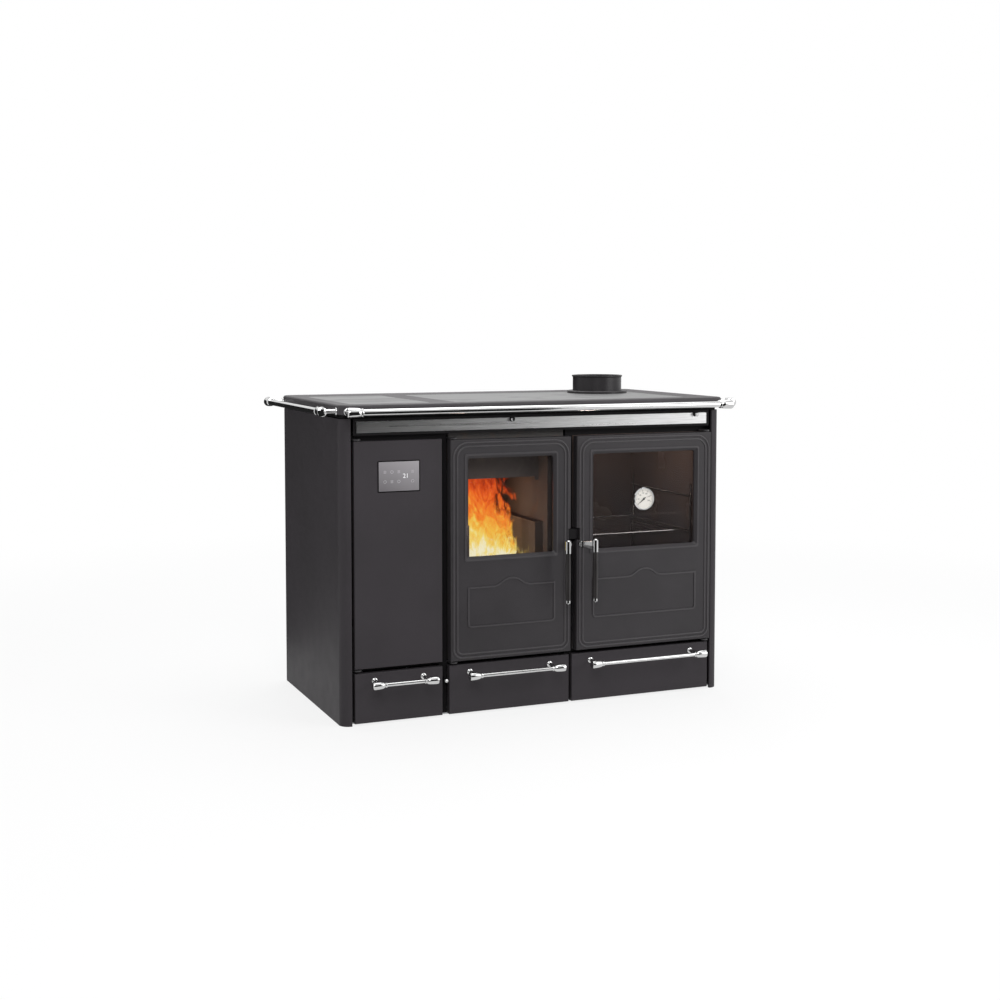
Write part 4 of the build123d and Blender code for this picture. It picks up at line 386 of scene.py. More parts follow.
def bare_metal(name, colour, gloss=0.32):
    """Turned or drawn metal with tool lines and a little tarnish."""
    f = Finish(name)
    tarnish = f.noise(40, 5, offset=1).rise(0.45, 0.75)
    lines = f.noise(1100, 3, stretch=(1, 0.2, 1))
    darker = tuple(c * 0.55 for c in colour[:3]) + (1,)
    shade = f.blend(tarnish, colour, darker)
    return f.done(f.principled(Base_Color=shade, Metallic=1.0, Roughness=0.2 * tarnish + gloss,
                               Normal=f.bump(lines, 0.0001, 0.4)))


def moulded_plastic(name, colour, gloss=0.45):
    """Moulded plastic with a fine spark-eroded grain."""
    f = Finish(name)
    grain = f.noise(1600, 2)
    paler = tuple(min(1.0, c * 1.25 + 0.004) for c in colour[:3]) + (1,)
    shade = f.blend(f.noise(12, 3).rise(0.35, 0.7), colour, paler)
    return f.done(f.principled(Base_Color=shade, Roughness=0.12 * grain + gloss - 0.05,
                               Normal=f.bump(grain, 0.0002, 0.4)))


def fire_glass(name):
    """Ceramic fire glass: nearly clear, faintly smoked, with a mirror-like skin."""
    f = Finish(name)
    smoke = f.noise(9, 4, offset=2).rise(0.5, 0.85)
    skin = f.principled(Base_Color=tint(0.050, 0.043, 0.045), Roughness=0.05,
                        IOR_Level=GLASS_SHINE)
    clear = f.node("BsdfTransparent", {}, {0: tint(0.92, 0.905, 0.90)})
    share = f.node("Fresnel", {}, {"IOR": 1.45}) * 0.8 + smoke * 0.05 + 0.04
    return f.done(f.node("MixShader", {}, {0: share, 1: clear, 2: skin}))


def clear_cover(name):
    """A small clear cover: almost nothing but its shine."""
    f = Finish(name)
    marks = f.noise(120, 3).rise(0.6, 0.85)
    skin = f.principled(Base_Color=grey(0.6), Roughness=0.06, IOR_Level=GLASS_SHINE)
    clear = f.node("BsdfTransparent", {}, {0: tint(0.97, 0.97, 0.96)})
    share = f.node("Fresnel", {}, {"IOR": 1.3}) * 0.5 + marks * 0.02
    return f.done(f.node("MixShader", {}, {0: share, 1: clear, 2: skin}))


def dial_face(name):
    """Cream printed metal."""
    f = Finish(name)
    paper = f.noise(700, 3)
    colour = f.blend(paper, tint(0.76, 0.73, 0.70), tint(0.84, 0.81, 0.77))
    return f.done(f.principled(Base_Color=colour, Roughness=0.15 * paper + 0.35,
                               Normal=f.bump(paper, 0.00005, 0.3)))


def display_glass(name, node):
    """Grey touch glass with a black printed border and a painted reflection that lightens it
    towards the top right.
    """
    low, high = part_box(node)
    f = Finish(name)
    x, z = f.axis("X"), f.axis("Z")
    border, fade = 0.0024, 0.0004
    inside = (x.rise(low.x + border, low.x + border + fade)
              * (1 - x.rise(high.x - border - fade, high.x - border))
              * z.rise(low.z + border, low.z + border + fade)
              * (1 - z.rise(high.z - border - fade, high.z - border)))
    glow = f.noise(14, 2, offset=3)
    face = f.blend(glow, tint(0.090, 0.084, 0.090), tint(0.150, 0.142, 0.150))
    # Painted reflection: the face grows lighter towards the top and the right.
    lift = ((z - low.z) * (0.5 / (high.z - low.z)) + (x - low.x) * (0.3 / (high.x - low.x)))
    face = f.blend(lift, face, tint(0.36, 0.345, 0.36))
    colour = f.blend(inside, grey(0.0015), face)
    smears = f.noise(45, 4, swirl=1.2).rise(0.55, 0.8)
    return f.done(f.principled(Base_Color=colour, Roughness=0.12 * smears + 0.10,
                               IOR_Level=IRON_SHINE))


FLAME_COLOURS = [(0.0, tint(0.16, 0.012, 0.003)), (0.20, tint(0.55, 0.050, 0.008)),
                 (0.40, tint(0.90, 0.130, 0.018)), (0.58, tint(1.0, 0.27, 0.030)),
                 (0.74, tint(1.0, 0.56, 0.070)), (0.88, tint(1.0, 0.80, 0.20)),
                 (1.0, tint(1.0, 0.96, 0.68))]


def flame_finish(name, phase):
    """Fire: white-yellow low down and at the left, through orange to dark red at the tips."""
    f = Finish(name)
    licks = f.noise(12, 4, stretch=(1, 1, 0.50), offset=phase, swirl=1.6)
    curls = f.noise(26, 3, stretch=(1, 1, 0.55), offset=phase + 3, swirl=2.2)
    fine = f.noise(70, 3, stretch=(1, 1, 0.45), offset=phase + 5, swirl=0.8)
    height = (f.axis("Z") - 0.425) * 4.6
    away = (f.axis("X") - FLAME_LEFT) * 5.9
    spread = 0.24 * (1.0 - f.axis("Z").rise(0.38, 0.48))
    edge = 1.10 - 0.52 * height - away + spread + (licks - 0.5) * 1.7 + (curls - 0.5) * 0.6
    heat = 1.06 - height * 0.80 - away * 0.20 + (curls - 0.5) * 0.8 + (fine - 0.5) * 0.40
    colour = f.ramp(heat, FLAME_COLOURS)
    body = edge.rise(-0.02, 0.30) * (0.35 + curls.rise(0.32, 0.60)).least(1.0)
    foot = f.axis("Z").rise(FLAME_FOOT, FLAME_FOOT + 0.04)
    return f.done(f.principled(Base_Color=grey(0.0), Roughness=1.0, IOR_Level=0.0,
                               Emission_Color=colour, Emission_Strength=1.15,
                               Alpha=(body * foot).least(0.90)))


def ember_finish(name):
    """Glowing cracks in black charcoal and grey ash."""
    f = Finish(name)
    cracks = 1 - f.node("TexVoronoi", {"feature": "DISTANCE_TO_EDGE"},
                        {"Vector": f.here, "Scale": 70}).rise(0.0, 0.22)
    ash = f.noise(90, 5, offset=3).rise(0.45, 0.7)
    glow = cracks * f.noise(18, 3, offset=6).rise(0.35, 0.6)
    colour = f.blend(ash, grey(0.012), tint(0.24, 0.22, 0.21))
    light = f.blend(glow, grey(0.0), tint(1.0, 0.22, 0.02))
    return f.done(f.principled(Base_Color=colour, Roughness=0.95, Emission_Color=light,
                               Emission_Strength=2.2, Normal=f.bump(cracks, 0.004, 0.7)))


def bark_finish(name):
    """Charring bark with long fissures."""
    f = Finish(name)
    fissures = f.noise(60, 6, stretch=(0.25, 1, 1), swirl=0.8)
    char = f.noise(12, 4, offset=4).rise(0.3, 0.6)
    colour = f.blend(fissures, tint(0.020, 0.013, 0.009), tint(0.16, 0.095, 0.055))
    colour = f.blend(char, colour, grey(0.010))
    glow = (1 - fissures.rise(0.30, 0.40)) * char
    light = f.blend(glow, grey(0.0), tint(1.0, 0.20, 0.02))
    return f.done(f.principled(Base_Color=colour, Roughness=0.9, Emission_Color=light,
                               Emission_Strength=1.5, Normal=f.bump(fissures, 0.004, 0.9)))


FINISHES = {
    "charcoal_paint": stove_paint("charcoal_paint", 0.036, 0.50),
    "black_paint": stove_paint("black_paint", 0.007, 0.60),
    # The door's edges and raised beads get a strong painted highlight.
    "door_iron": cast_iron("door_iron", 0.029, 0.42, 520, wear_and_highlight=0.70, proud=DOOR_FACE),
    "top_iron": cast_iron("top_iron", 0.040, 0.50, 480),
    "plate_iron": ground_plate("plate_iron", 0.17),
    "flue_enamel": cast_iron("flue_enamel", 0.024, 0.34, 600, wear_and_highlight=0.3),
    "chrome": chrome("chrome"),
    "brushed_band": brushed_steel("brushed_band", 0.52, (0.02, 1, 1), 0.26),
    "grip_black": moulded_plastic("grip_black", tint(0.012, 0.010, 0.010), 0.30),
    "fire_glass": fire_glass("fire_glass"),
    "display_face": display_glass("display_face", "touch_display"),
    "rope_seal": seal_rope("rope_seal"),
    "fireclay": fireclay("fireclay"),
    "grate_iron": burnt_iron("grate_iron"),
    "zinc_sheet": zinc_sheet("zinc_sheet"),
    "oven_enamel": oven_enamel("oven_enamel"),
    "boiler_steel": boiler_plate("boiler_steel"),
    "wire_chrome": chrome("wire_chrome", 0.55, 0.16),
    "vessel_red": coloured_paint("vessel_red", tint(0.42, 0.025, 0.018)),
    "pump_paint": coloured_paint("pump_paint", tint(0.025, 0.085, 0.080), 0.4),
    "pipe_steel": bare_metal("pipe_steel", tint(0.46, 0.45, 0.44), 0.38),
    "brass": bare_metal("brass", tint(0.72, 0.52, 0.22)),
    "box_plastic": moulded_plastic("box_plastic", tint(0.30, 0.31, 0.32)),
    "inlet_plastic": moulded_plastic("inlet_plastic", tint(0.018, 0.018, 0.019)),
    "dial_face": dial_face("dial_face"),
    "needle_black": coloured_paint("needle_black", tint(0.010, 0.010, 0.011), 0.4),
}
HINGE_STEEL = coloured_paint("hinge_steel", tint(0.030, 0.028, 0.030), 0.45)


def dress_frame():
    """Gives every CAD piece the finish of its slot; the hinges are blackened."""
    for part in frame["record"]["subparts"]:
        mesh = frame["nodes"][part["node"]].data
        mesh.materials.clear()
        mesh.materials.append(FINISHES[part["material_slot"]])
    frame["nodes"]["door_hinges"].data.materials[0] = HINGE_STEEL


dress_frame()


# Making pieces

SHARP_ANGLE = math.radians(42)
NEARLY_NONE = 0.0003    # the radius at which a turned form closes


def settled(name, mesh, body, slot, finish):
    """A mesh made into a piece that rides on a body and takes its finish from a slot."""
    mesh.materials.append(finish or FINISHES[slot])
    made = placed(name, mesh)
    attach(made, body)
    return made


def piece(name, points, faces, body, slot, finish=None, smooth=True):
    """A piece from points and faces, sharp only where two faces meet at a clear angle."""
    mesh = bpy.data.meshes.new(name)
    mesh.from_pydata([tuple(p) for p in points], [], faces)
    mesh.validate()
    mesh.update()
    if smooth:
        mesh.shade_smooth()
        mesh.set_sharp_from_angle(angle=SHARP_ANGLE)
    return settled(name, mesh, body, slot, finish)


def turns(count):
    """Equal angles round a full circle."""
    return [math.tau * i / count for i in range(count)]


def sheet(columns, rows, point):
    """Points and faces of a sheet: point takes the share across and the share along."""
    points = [point(i / columns, j / rows) for j in range(rows + 1) for i in range(columns + 1)]
    faces = []
    for j in range(rows):
        for i in range(columns):
            a = j * (columns + 1) + i
            faces.append((a, a + 1, a + columns + 2, a + columns + 1))
    return points, faces


class Shape:
    """Points and faces that are gathered from several forms into one mesh."""

    def __init__(self):
        self.points = []
        self.faces = []

    def add(self, points, faces):
        start = len(self.points)
        self.points += [Vector(p) for p in points]
        self.faces += [tuple(start + i for i in face) for face in faces]

    def rings(self, rings, closed=True):
        """A skin over rings of equal count, with a flat cap at each end if it is closed."""
        count = len(rings[0])
        points = [p for ring in rings for p in ring]
        faces = []
        for row in range(len(rings) - 1):
            for step in range(count):
                after = (step + 1) % count
                low, high = row * count, (row + 1) * count
                faces.append((low + step, low + after, high + after, high + step))
        if closed:
            faces.append(tuple(range(count))[::-1])
            faces.append(tuple((len(rings) - 1) * count + i for i in range(count)))
        self.add(points, faces)

    def lathe(self, place, along, profile, count=24, closed=True):
        """A turned form: (radius, distance) points along a direction."""
        turn = Vector((0, 0, 1)).rotation_difference(Vector(along))
        rings = []
        for radius, distance in profile:
            ring = [Vector((radius * math.cos(a), radius * math.sin(a), distance))
                    for a in turns(count)]
            rings.append([Vector(place) + turn @ p for p in ring])
        self.rings(rings, closed)

    def bar(self, low, high):
        """A plain rectangular bar between two corners."""
        x, y, z = zip(low, high)
        points = [(x[i], y[j], z[k]) for i in (0, 1) for j in (0, 1) for k in (0, 1)]
        self.add(points, [(0, 1, 3, 2), (4, 6, 7, 5), (0, 4, 5, 1), (2, 3, 7, 6),
                          (0, 2, 6, 4), (1, 5, 7, 3)])


def bounds_of(node):
    """A CAD piece's lowest and highest corner and the middle between them."""
    low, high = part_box(node)
    return low, high, (low + high) / 2


# The fire

# Each log: its middle, half its length, its radius and its turn
LOG_PLACES = [
    ((-0.165, -0.07, 0.305), 0.105, 0.036, 0.10),
    ((-0.075, -0.05, 0.302), 0.120, 0.034, -0.16),
    ((-0.015, -0.08, 0.299), 0.110, 0.031, 0.06),
    ((-0.110, -0.07, 0.362), 0.120, 0.033, 0.30),
]
LOG_ROWS, LOG_STEPS = 14, 26
LOG_SPLIT = 0.72    # the height of the split side, as a share of the radius


def firewood(name, place, half, radius, turn):
    """A split log with bark: rings of points pushed in and out, flat on the split side."""
    shape = Shape()
    rings = []
    for row in range(LOG_ROWS + 1):
        along = 2 * row / LOG_ROWS - 1
        t = row / LOG_ROWS
        end = 0.94 if row in (0, LOG_ROWS) else 1.0
        ring = []
        for a in turns(LOG_STEPS):
            knots = noise.noise(Vector((math.cos(a) * 2, t * 6, radius * 99)))
            bark = noise.noise(Vector((a * 6, t * 30, 3)))
            r = radius * (0.93 + 0.10 * knots) * (0.97 + 0.06 * bark)
            x, z = r * math.cos(a), min(r * math.sin(a), radius * LOG_SPLIT)
            ring.append(Vector((x * end, along * half, z * end)))
        rings.append(ring)
    shape.rings(rings)
    spin = Matrix.Rotation(turn, 3, "Z")
    points = [spin @ p + Vector(place) for p in shape.points]
    piece(name, points, shape.faces, "stove", "grate_iron", bark_finish(name))


EMBER_SIDE, EMBER_FRONT, EMBER_BACK = 0.030, 0.035, 0.040    # bare grate round the embers
EMBER_COLUMNS, EMBER_ROWS = 34, 60


def ember_bed():
    """A lumpy bed of embers on the grate."""
    low, high, _ = bounds_of("fire_grate")
    x = (low.x + EMBER_SIDE, high.x - EMBER_SIDE)
    y = (low.y + EMBER_FRONT, high.y - EMBER_BACK)

    def point(u, v):
        lump = noise.fractal(Vector((u * 9, v * 16, 1)), 0.9, 2.0, 4)
        rim = min(u, 1 - u, v, 1 - v) * 7
        lift = min(1.0, rim) * (0.014 + 0.010 * lump)
        return (x[0] + (x[1] - x[0]) * u, y[0] + (y[1] - y[0]) * v,
                high.z + max(0.0004, lift))

    points, faces = sheet(EMBER_COLUMNS, EMBER_ROWS, point)
    piece("ember_bed", points, faces, "stove", "grate_iron", ember_finish("embers"))


# Each sheet of fire: its depth, how far its sides reach inwards, and where its noise starts
FLAME_SHEETS = [(-0.192, 0.000, 0.0), (-0.150, -0.006, 2.3), (-0.100, -0.010, 5.1),
                (-0.040, -0.006, 7.7), (0.030, 0.000, 9.2)]
FLAME_LEFT, FLAME_WIDTH = -0.186, 0.225
FLAME_FOOT, FLAME_TOP = 0.300, 0.638
FLAME_COLUMNS, FLAME_ROWS = 44, 56


def flame_sheet(number, y, inset, phase):
    """One rippled sheet of fire that stands from the coals up to the baffle."""
    def point(u, v):
        curl = noise.noise(Vector((u * 4 + phase, v * 3 - phase, phase)))
        fold = noise.noise(Vector((u * 11, v * 5 + phase, phase * 2)))
        x = FLAME_LEFT - inset * (1 - u) + (FLAME_WIDTH + 2 * inset) * u
        return (x, y + 0.020 * curl * (0.3 + v) + 0.006 * fold,
                FLAME_FOOT + (FLAME_TOP - FLAME_FOOT) * v)

    points, faces = sheet(FLAME_COLUMNS, FLAME_ROWS, point)
    piece(f"flames_{number}", points, faces, "stove", "fire_glass",
          flame_finish(f"flames_{number}", phase))


for number, log in enumerate(LOG_PLACES, 1):
    firewood(f"firewood_log_{number}", *log)
ember_bed()
for number, place in enumerate(FLAME_SHEETS, 1):
    flame_sheet(number, *place)


# Thermometer. Angles on the dial are in degrees from straight up, clockwise.

DIAL_START = -130
TICK_COUNT, TICK_STEP, TICKS_TO_A_LONG_ONE = 27, 10, 4
TICK_RIM, LONG_TICK_FOOT, SHORT_TICK_FOOT = 0.0265, 0.0205, 0.0235
LONG_TICK_HALF, SHORT_TICK_HALF, TICK_HEIGHT = 0.00055, 0.0003, 0.0002
FIGURE_COUNT, FIGURE_STEP, FIGURE_VALUE = 7, 40, 50
FIGURE_SIZE, FIGURE_RADIUS = 0.0052, 0.0165
PRINT_HEIGHT = 0.00015
COVER_RADIUS, COVER_INSET = 0.0288, 0.0018


def on_front(points, middle, level):
    """Points given as x and z about a middle, set on an upright plane at a level."""
    return [Vector((middle.x + x, level, middle.z + z)) for x, z in points]


def dial_marks():
    """Ticks round the dial: a long one for each fourth."""
    low, _, middle = bounds_of("thermometer_dial")
    shape = Shape()
    for step in range(TICK_COUNT):
        a = math.radians(DIAL_START + TICK_STEP * step)
        long = step % TICKS_TO_A_LONG_ONE == 0
        foot = LONG_TICK_FOOT if long else SHORT_TICK_FOOT
        half = LONG_TICK_HALF if long else SHORT_TICK_HALF
        out, side = Vector((math.sin(a), math.cos(a))), Vector((math.cos(a), -math.sin(a)))
        corners = [out * foot - side * half, out * TICK_RIM - side * half,
                   out * TICK_RIM + side * half, out * foot + side * half]
        shape.rings([on_front(corners, middle, low.y),
                     on_front(corners, middle, low.y - TICK_HEIGHT)])
    piece("dial_marks", shape.points, shape.faces, "oven_door", "needle_black", smooth=False)


def written(name, text, size, place, body, slot, finish=None):
    """Plain figures, cut from a sheet, on an upright face that looks to the front."""
    curve = bpy.data.curves.new(name, "FONT")
    curve.body = text
    curve.size = size
    curve.extrude = PRINT_HEIGHT / 2
    curve.align_x = "CENTER"
    curve.align_y = "CENTER"
    holder = placed(name + "_curve", curve)
    bpy.context.view_layer.update()
    mesh = bpy.data.meshes.new_from_object(holder)
    bpy.data.objects.remove(holder)
    mesh.name = name
    mesh.transform(Matrix.Translation(place) @ Matrix.Rotation(math.pi / 2, 4, "X"))
    mesh.materials.clear()
    return settled(name, mesh, body, slot, finish)


def dial_figures():
    """The temperatures, from 0 up in steps of 50."""
    low, _, middle = bounds_of("thermometer_dial")
    for step in range(FIGURE_COUNT):
        a = math.radians(DIAL_START + FIGURE_STEP * step)
        place = Vector((middle.x + FIGURE_RADIUS * math.sin(a), low.y - 0.0001,
                        middle.z + FIGURE_RADIUS * math.cos(a)))
        value = step * FIGURE_VALUE
        written(f"dial_figure_{value}", str(value), FIGURE_SIZE, place, "oven_door",
                "needle_black")


def dial_cover():
    """The thin domed glass over the dial."""
    low, _, middle = bounds_of("thermometer_case")
    shape = Shape()
    dome = [(COVER_RADIUS, 0.0), (COVER_RADIUS * 0.93, 0.0005), (COVER_RADIUS * 0.8, 0.0009),
            (COVER_RADIUS * 0.55, 0.0013), (COVER_RADIUS * 0.25, 0.0015),
            (NEARLY_NONE, 0.0016)]
    shape.lathe((middle.x, low.y + COVER_INSET, middle.z), (0, -1, 0), dome, 48, closed=False)
    piece("dial_cover", shape.points, shape.faces, "oven_door", "fire_glass",
          clear_cover("clear_cover"))


dial_marks()
dial_figures()
dial_cover()


# Display

SYMBOL_PALE = moulded_plastic("display_print", tint(0.38, 0.37, 0.38), 0.4)
SYMBOL_WHITE = moulded_plastic("display_figures", tint(0.86, 0.86, 0.87), 0.35)
SYMBOL_COLUMNS, READING_COLUMN = 5, 3
SYMBOL_START, SYMBOL_STEP = 0.020, 0.0195
SYMBOL_ROWS = (0.012, -0.014)
SYMBOL_HEIGHT = 0.00012
RING_OUTER, RING_INNER, RING_STEPS = 0.0042, 0.0033, 20
BAR_COUNT, BAR_STEP, BAR_HALF, BAR_THICK = 3, 0.0028, 0.0038, 0.0005
READING_PLACE, READING_SIZE = 0.0785, 0.017


def ring_symbol(shape, x, z, level):
    """A flat ring on an upright face."""
    rings = []
    for radius in (RING_OUTER, RING_INNER):
        rings.append([Vector((x + radius * math.cos(a), level, z + radius * math.sin(a)))
                      for a in turns(RING_STEPS)])
    front = [[p + Vector((0, -SYMBOL_HEIGHT, 0)) for p in ring] for ring in rings]
    shape.rings([rings[0], front[0], front[1], rings[1], rings[0]], closed=False)


def bars_symbol(shape, x, z, level):
    """Three short bars, one above the other."""
    for bar in range(BAR_COUNT):
        at = z + BAR_STEP * (bar - 1)
        shape.bar((x - BAR_HALF, level - SYMBOL_HEIGHT, at - BAR_THICK),
                  (x + BAR_HALF, level, at + BAR_THICK))


def display_symbols():
    """Faint generic touch symbols: rings and bars in two rows, and a reading between them."""
    low, _, middle = bounds_of("touch_display")
    shape = Shape()
    for column in range(SYMBOL_COLUMNS):
        if column == READING_COLUMN:
            continue
        x = low.x + SYMBOL_START + SYMBOL_STEP * column
        for row, rise in enumerate(SYMBOL_ROWS):
            symbol = ring_symbol if (column + row) % 2 else bars_symbol
            symbol(shape, x, middle.z + rise, low.y)
    piece("display_symbols", shape.points, shape.faces, "technical_door", "box_plastic",
          SYMBOL_PALE, smooth=False)
    written("display_reading", "21", READING_SIZE,
            Vector((low.x + READING_PLACE, low.y - 0.0001, middle.z)),
            "technical_door", "box_plastic", SYMBOL_WHITE)


display_symbols()


# Rails and handles. A barrel is turned from its neck to its closed end: radius, distance.

DRAWER_BARREL = [(0.0052, -0.0040), (0.0070, -0.0036), (0.0080, -0.0016), (0.0072, 0.0004),
                 (0.0064, 0.0018), (0.0088, 0.0040), (0.0102, 0.0090), (0.0110, 0.0170),
                 (0.0114, 0.0250), (0.0115, 0.0310), (0.0108, 0.0345), (0.0085, 0.0359),
                 (NEARLY_NONE, 0.0360)]
RAIL_BARREL = [(0.0088, -0.0040), (0.0108, -0.0034), (0.0117, -0.0012), (0.0108, 0.0010),
               (0.0100, 0.0022), (0.0118, 0.0050), (0.0126, 0.0110), (0.0131, 0.0200),
               (0.0134, 0.0290), (0.0135, 0.0345), (0.0126, 0.0380), (0.0096, 0.0398),
               (NEARLY_NONE, 0.0400)]
DRAWER_BAR_RADIUS, DRAWER_BARREL_RADIUS = 0.0054, 0.0115
DRAWER_STEM_INSET, DRAWER_STEM_RADIUS, DRAWER_ROSETTE = 0.023, 0.0050, 0.0088
RAIL_RADIUS, RAIL_BARREL_RADIUS = 0.0088, 0.0135
FRONT_RAIL_HALF, SIDE_RAIL_FRONT, SIDE_RAIL_BACK = 0.578, -0.284, 0.302
RAIL_STEM_INSET, RAIL_STEM_RADIUS, RAIL_ROSETTE = 0.0152, 0.0060, 0.0100
ROSETTE_HEIGHT = 0.0030


def rosette(radius, height):
    """A small round foot plate, from its seat outwards."""
    return [(radius, 0), (radius, height * 0.3), (radius * 0.93, height * 0.7),
            (radius * 0.7, height), (NEARLY_NONE, height)]


def bar_with_ends(shape, start, end, radius, barrel):
    """A round bar between two turned barrel ends; each end's length lies inside start and end."""
    start, end = Vector(start), Vector(end)
    way = (end - start).normalized()
    length = barrel[-1][1]
    run = (end - start).length - 2 * length
    shape.lathe(start + way * length, way, [(radius, 0), (radius, run)], 28)
    shape.lathe(end - way * length, way, barrel, 28)
    shape.lathe(start + way * length, -way, barrel, 28)


def stem(shape, place, foot, radius, plate):
    """A post from a bar to its seat, with its rosette."""
    place, foot = Vector(place), Vector(foot)
    way = (foot - place).normalized()
    shape.lathe(place, way, [(radius, 0), (radius, (foot - place).length)], 20)
    shape.lathe(foot, -way, rosette(plate, ROSETTE_HEIGHT), 24)


def drawer_handle(side):
    """A drawer's bar with barrel ends, in the place of its plain solid."""
    low, high, middle = bounds_of(f"drawer_{side}_handle")
    y = low.y + DRAWER_BARREL_RADIUS
    shape = Shape()
    bar_with_ends(shape, (low.x, y, middle.z), (high.x, y, middle.z), DRAWER_BAR_RADIUS,
                  DRAWER_BARREL)
    for x in (low.x + DRAWER_STEM_INSET, high.x - DRAWER_STEM_INSET):
        stem(shape, (x, y + 0.006, middle.z), (x, high.y, middle.z), DRAWER_STEM_RADIUS,
             DRAWER_ROSETTE)
    made = piece(f"{side}_drawer_bar", shape.points, shape.faces, f"{side}_drawer", "chrome")
    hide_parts(f"drawer_{side}_handle")


def worktop_rails():
    """The long front rail and the two side rails, with barrel ends, stems and rosettes."""
    low, high, middle = bounds_of("rail_fittings")
    top_low, top_high, _ = bounds_of("worktop_frame")
    y, z, side_x = low.y + RAIL_BARREL_RADIUS, middle.z, high.x - RAIL_BARREL_RADIUS
    front, sides = Shape(), Shape()
    bar_with_ends(front, (-FRONT_RAIL_HALF, y, z), (FRONT_RAIL_HALF, y, z), RAIL_RADIUS,
                  RAIL_BARREL)
    for side in (-1, 1):
        x = side * (FRONT_RAIL_HALF - RAIL_STEM_INSET)
        stem(front, (x, y + 0.008, z), (x, top_low.y, z), RAIL_STEM_RADIUS, RAIL_ROSETTE)
        bar_with_ends(sides, (side * side_x, SIDE_RAIL_FRONT, z),
                      (side * side_x, SIDE_RAIL_BACK, z), RAIL_RADIUS, RAIL_BARREL)
        for at in (SIDE_RAIL_FRONT + RAIL_STEM_INSET, SIDE_RAIL_BACK - RAIL_STEM_INSET):
            stem(sides, (side * (side_x - 0.008), at, z), (side * top_high.x, at, z),
                 RAIL_STEM_RADIUS, RAIL_ROSETTE)
    made = piece("front_rail", front.points, front.faces, "stove", "chrome")
    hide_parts("guard_rails", "rail_fittings")
    made = piece("side_rails", sides.points, sides.faces, "stove", "chrome")
    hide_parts("guard_rails", "rail_fittings")


for side in ("left", "middle", "right"):
    drawer_handle(side)
worktop_rails()


# Small fasteners

BACKWARDS = (0, 1, 0)
SIDE_SCREWS, SIDE_SCREW_START, SIDE_SCREW_STEP, SIDE_SCREW_INSET = 6, 0.04, 0.148, 0.011
ROW_SCREWS, ROW_SCREW_START, ROW_SCREW_STEP = 7, -0.45, 0.15
TOP_ROW_INSET, FOOT_ROW_HEIGHT = 0.012, 0.014
CLIP_INSET, CLIP_HALF, CLIP_REACH_IN, CLIP_REACH_OUT = 0.06, 0.010, 0.007, 0.0085
CLIP_GAP, CLIP_BACK, CLIP_SCREW_OFFSET = 0.0002, 0.0016, 0.0055
CLIP_SCREW_RADIUS, CLIP_SCREW_HEIGHT = 0.0028, 0.0015


def screw_head(shape, place, along, radius=0.0036, height=0.0018):
    """A low round head with a dished middle."""
    profile = [(radius, 0), (radius, height * 0.4), (radius * 0.8, height * 0.85),
               (radius * 0.5, height), (radius * 0.42, height * 0.98),
               (radius * 0.36, height * 0.35), (0.0002, height * 0.35)]
    shape.lathe(place, along, profile, 18)


def back_screws():
    """Screws that hold the back sheet, along its edges."""
    _, high, _ = bounds_of("back_panel")
    shape = Shape()
    for side in (-1, 1):
        for step in range(SIDE_SCREWS):
            x, z = side * (high.x - SIDE_SCREW_INSET), SIDE_SCREW_START + SIDE_SCREW_STEP * step
            screw_head(shape, (x, high.y, z), BACKWARDS)
    for step in range(ROW_SCREWS):
        x = ROW_SCREW_START + ROW_SCREW_STEP * step
        screw_head(shape, (x, high.y, high.z - TOP_ROW_INSET), BACKWARDS)
        screw_head(shape, (x, high.y, FOOT_ROW_HEIGHT), BACKWARDS)
    piece("back_screws", shape.points, shape.faces, "stove", "zinc_sheet")


def glass_clips(door, glass):
    """Flat clips and screws that hold a door's pane from behind."""
    low, high, middle = bounds_of(glass)
    clips, screws = Shape(), Shape()
    places = [(low.x, z, -1, 0) for z in (low.z + CLIP_INSET, high.z - CLIP_INSET)]
    places += [(high.x, z, 1, 0) for z in (low.z + CLIP_INSET, high.z - CLIP_INSET)]
    places += [(middle.x, low.z, 0, -1), (middle.x, high.z, 0, 1)]
    for x, z, way_x, way_z in places:
        half_x = CLIP_HALF if way_z else 0.0
        half_z = CLIP_HALF if way_x else 0.0
        xs = sorted((x - way_x * CLIP_REACH_IN, x + way_x * CLIP_REACH_OUT))
        zs = sorted((z - way_z * CLIP_REACH_IN, z + way_z * CLIP_REACH_OUT))
        clips.bar((xs[0] - half_x, high.y + CLIP_GAP, zs[0] - half_z),
                  (xs[1] + half_x, high.y + CLIP_BACK, zs[1] + half_z))
        screw_place = (x + way_x * CLIP_SCREW_OFFSET, high.y + CLIP_BACK,
                       z + way_z * CLIP_SCREW_OFFSET)
        screw_head(screws, screw_place, BACKWARDS, CLIP_SCREW_RADIUS, CLIP_SCREW_HEIGHT)
    piece(f"{door}_glass_clips", clips.points, clips.faces, door, "zinc_sheet", smooth=False)
    piece(f"{door}_clip_screws", screws.points, screws.faces, door, "wire_chrome")


back_screws()
glass_clips("firebox_door", "firebox_door_glass")
glass_clips("oven_door", "oven_door_glass")


# Studio

FLOOR_HALF = 9.0
FLOOR_FADE = (1.2, 3.6)    # where the floor starts and ends turning into plain white
SCREEN_STEPS, SCREEN_LEVEL = 24, 0.02
SCREEN_NEAR, SCREEN_FAR, SCREEN_FOOT = 0.95, 6.0, 0.004
WORLD_COLOUR, WORLD_LIGHT = (0.98, 0.99, 1.0, 1), 0.40
# Each screen: where it starts, how far it goes round in degrees, and its height
SCREENS = [("front_screen", -58, 82, 3.2), ("back_screen", 135, 93, 1.9)]
# Each glow: its place, power, colour and radius
GLOWS = [("fire_glow", (-0.16, -0.08, 0.50), 2.2, (1.0, 0.64, 0.44), 0.06),
         ("fire_glow_front", (-0.14, -0.24, 0.50), 0.9, (1.0, 0.78, 0.66), 0.03),
         ("oven_glow", (0.22, -0.20, 0.70), 1.9, (1.0, 0.84, 0.76), 0.03)]
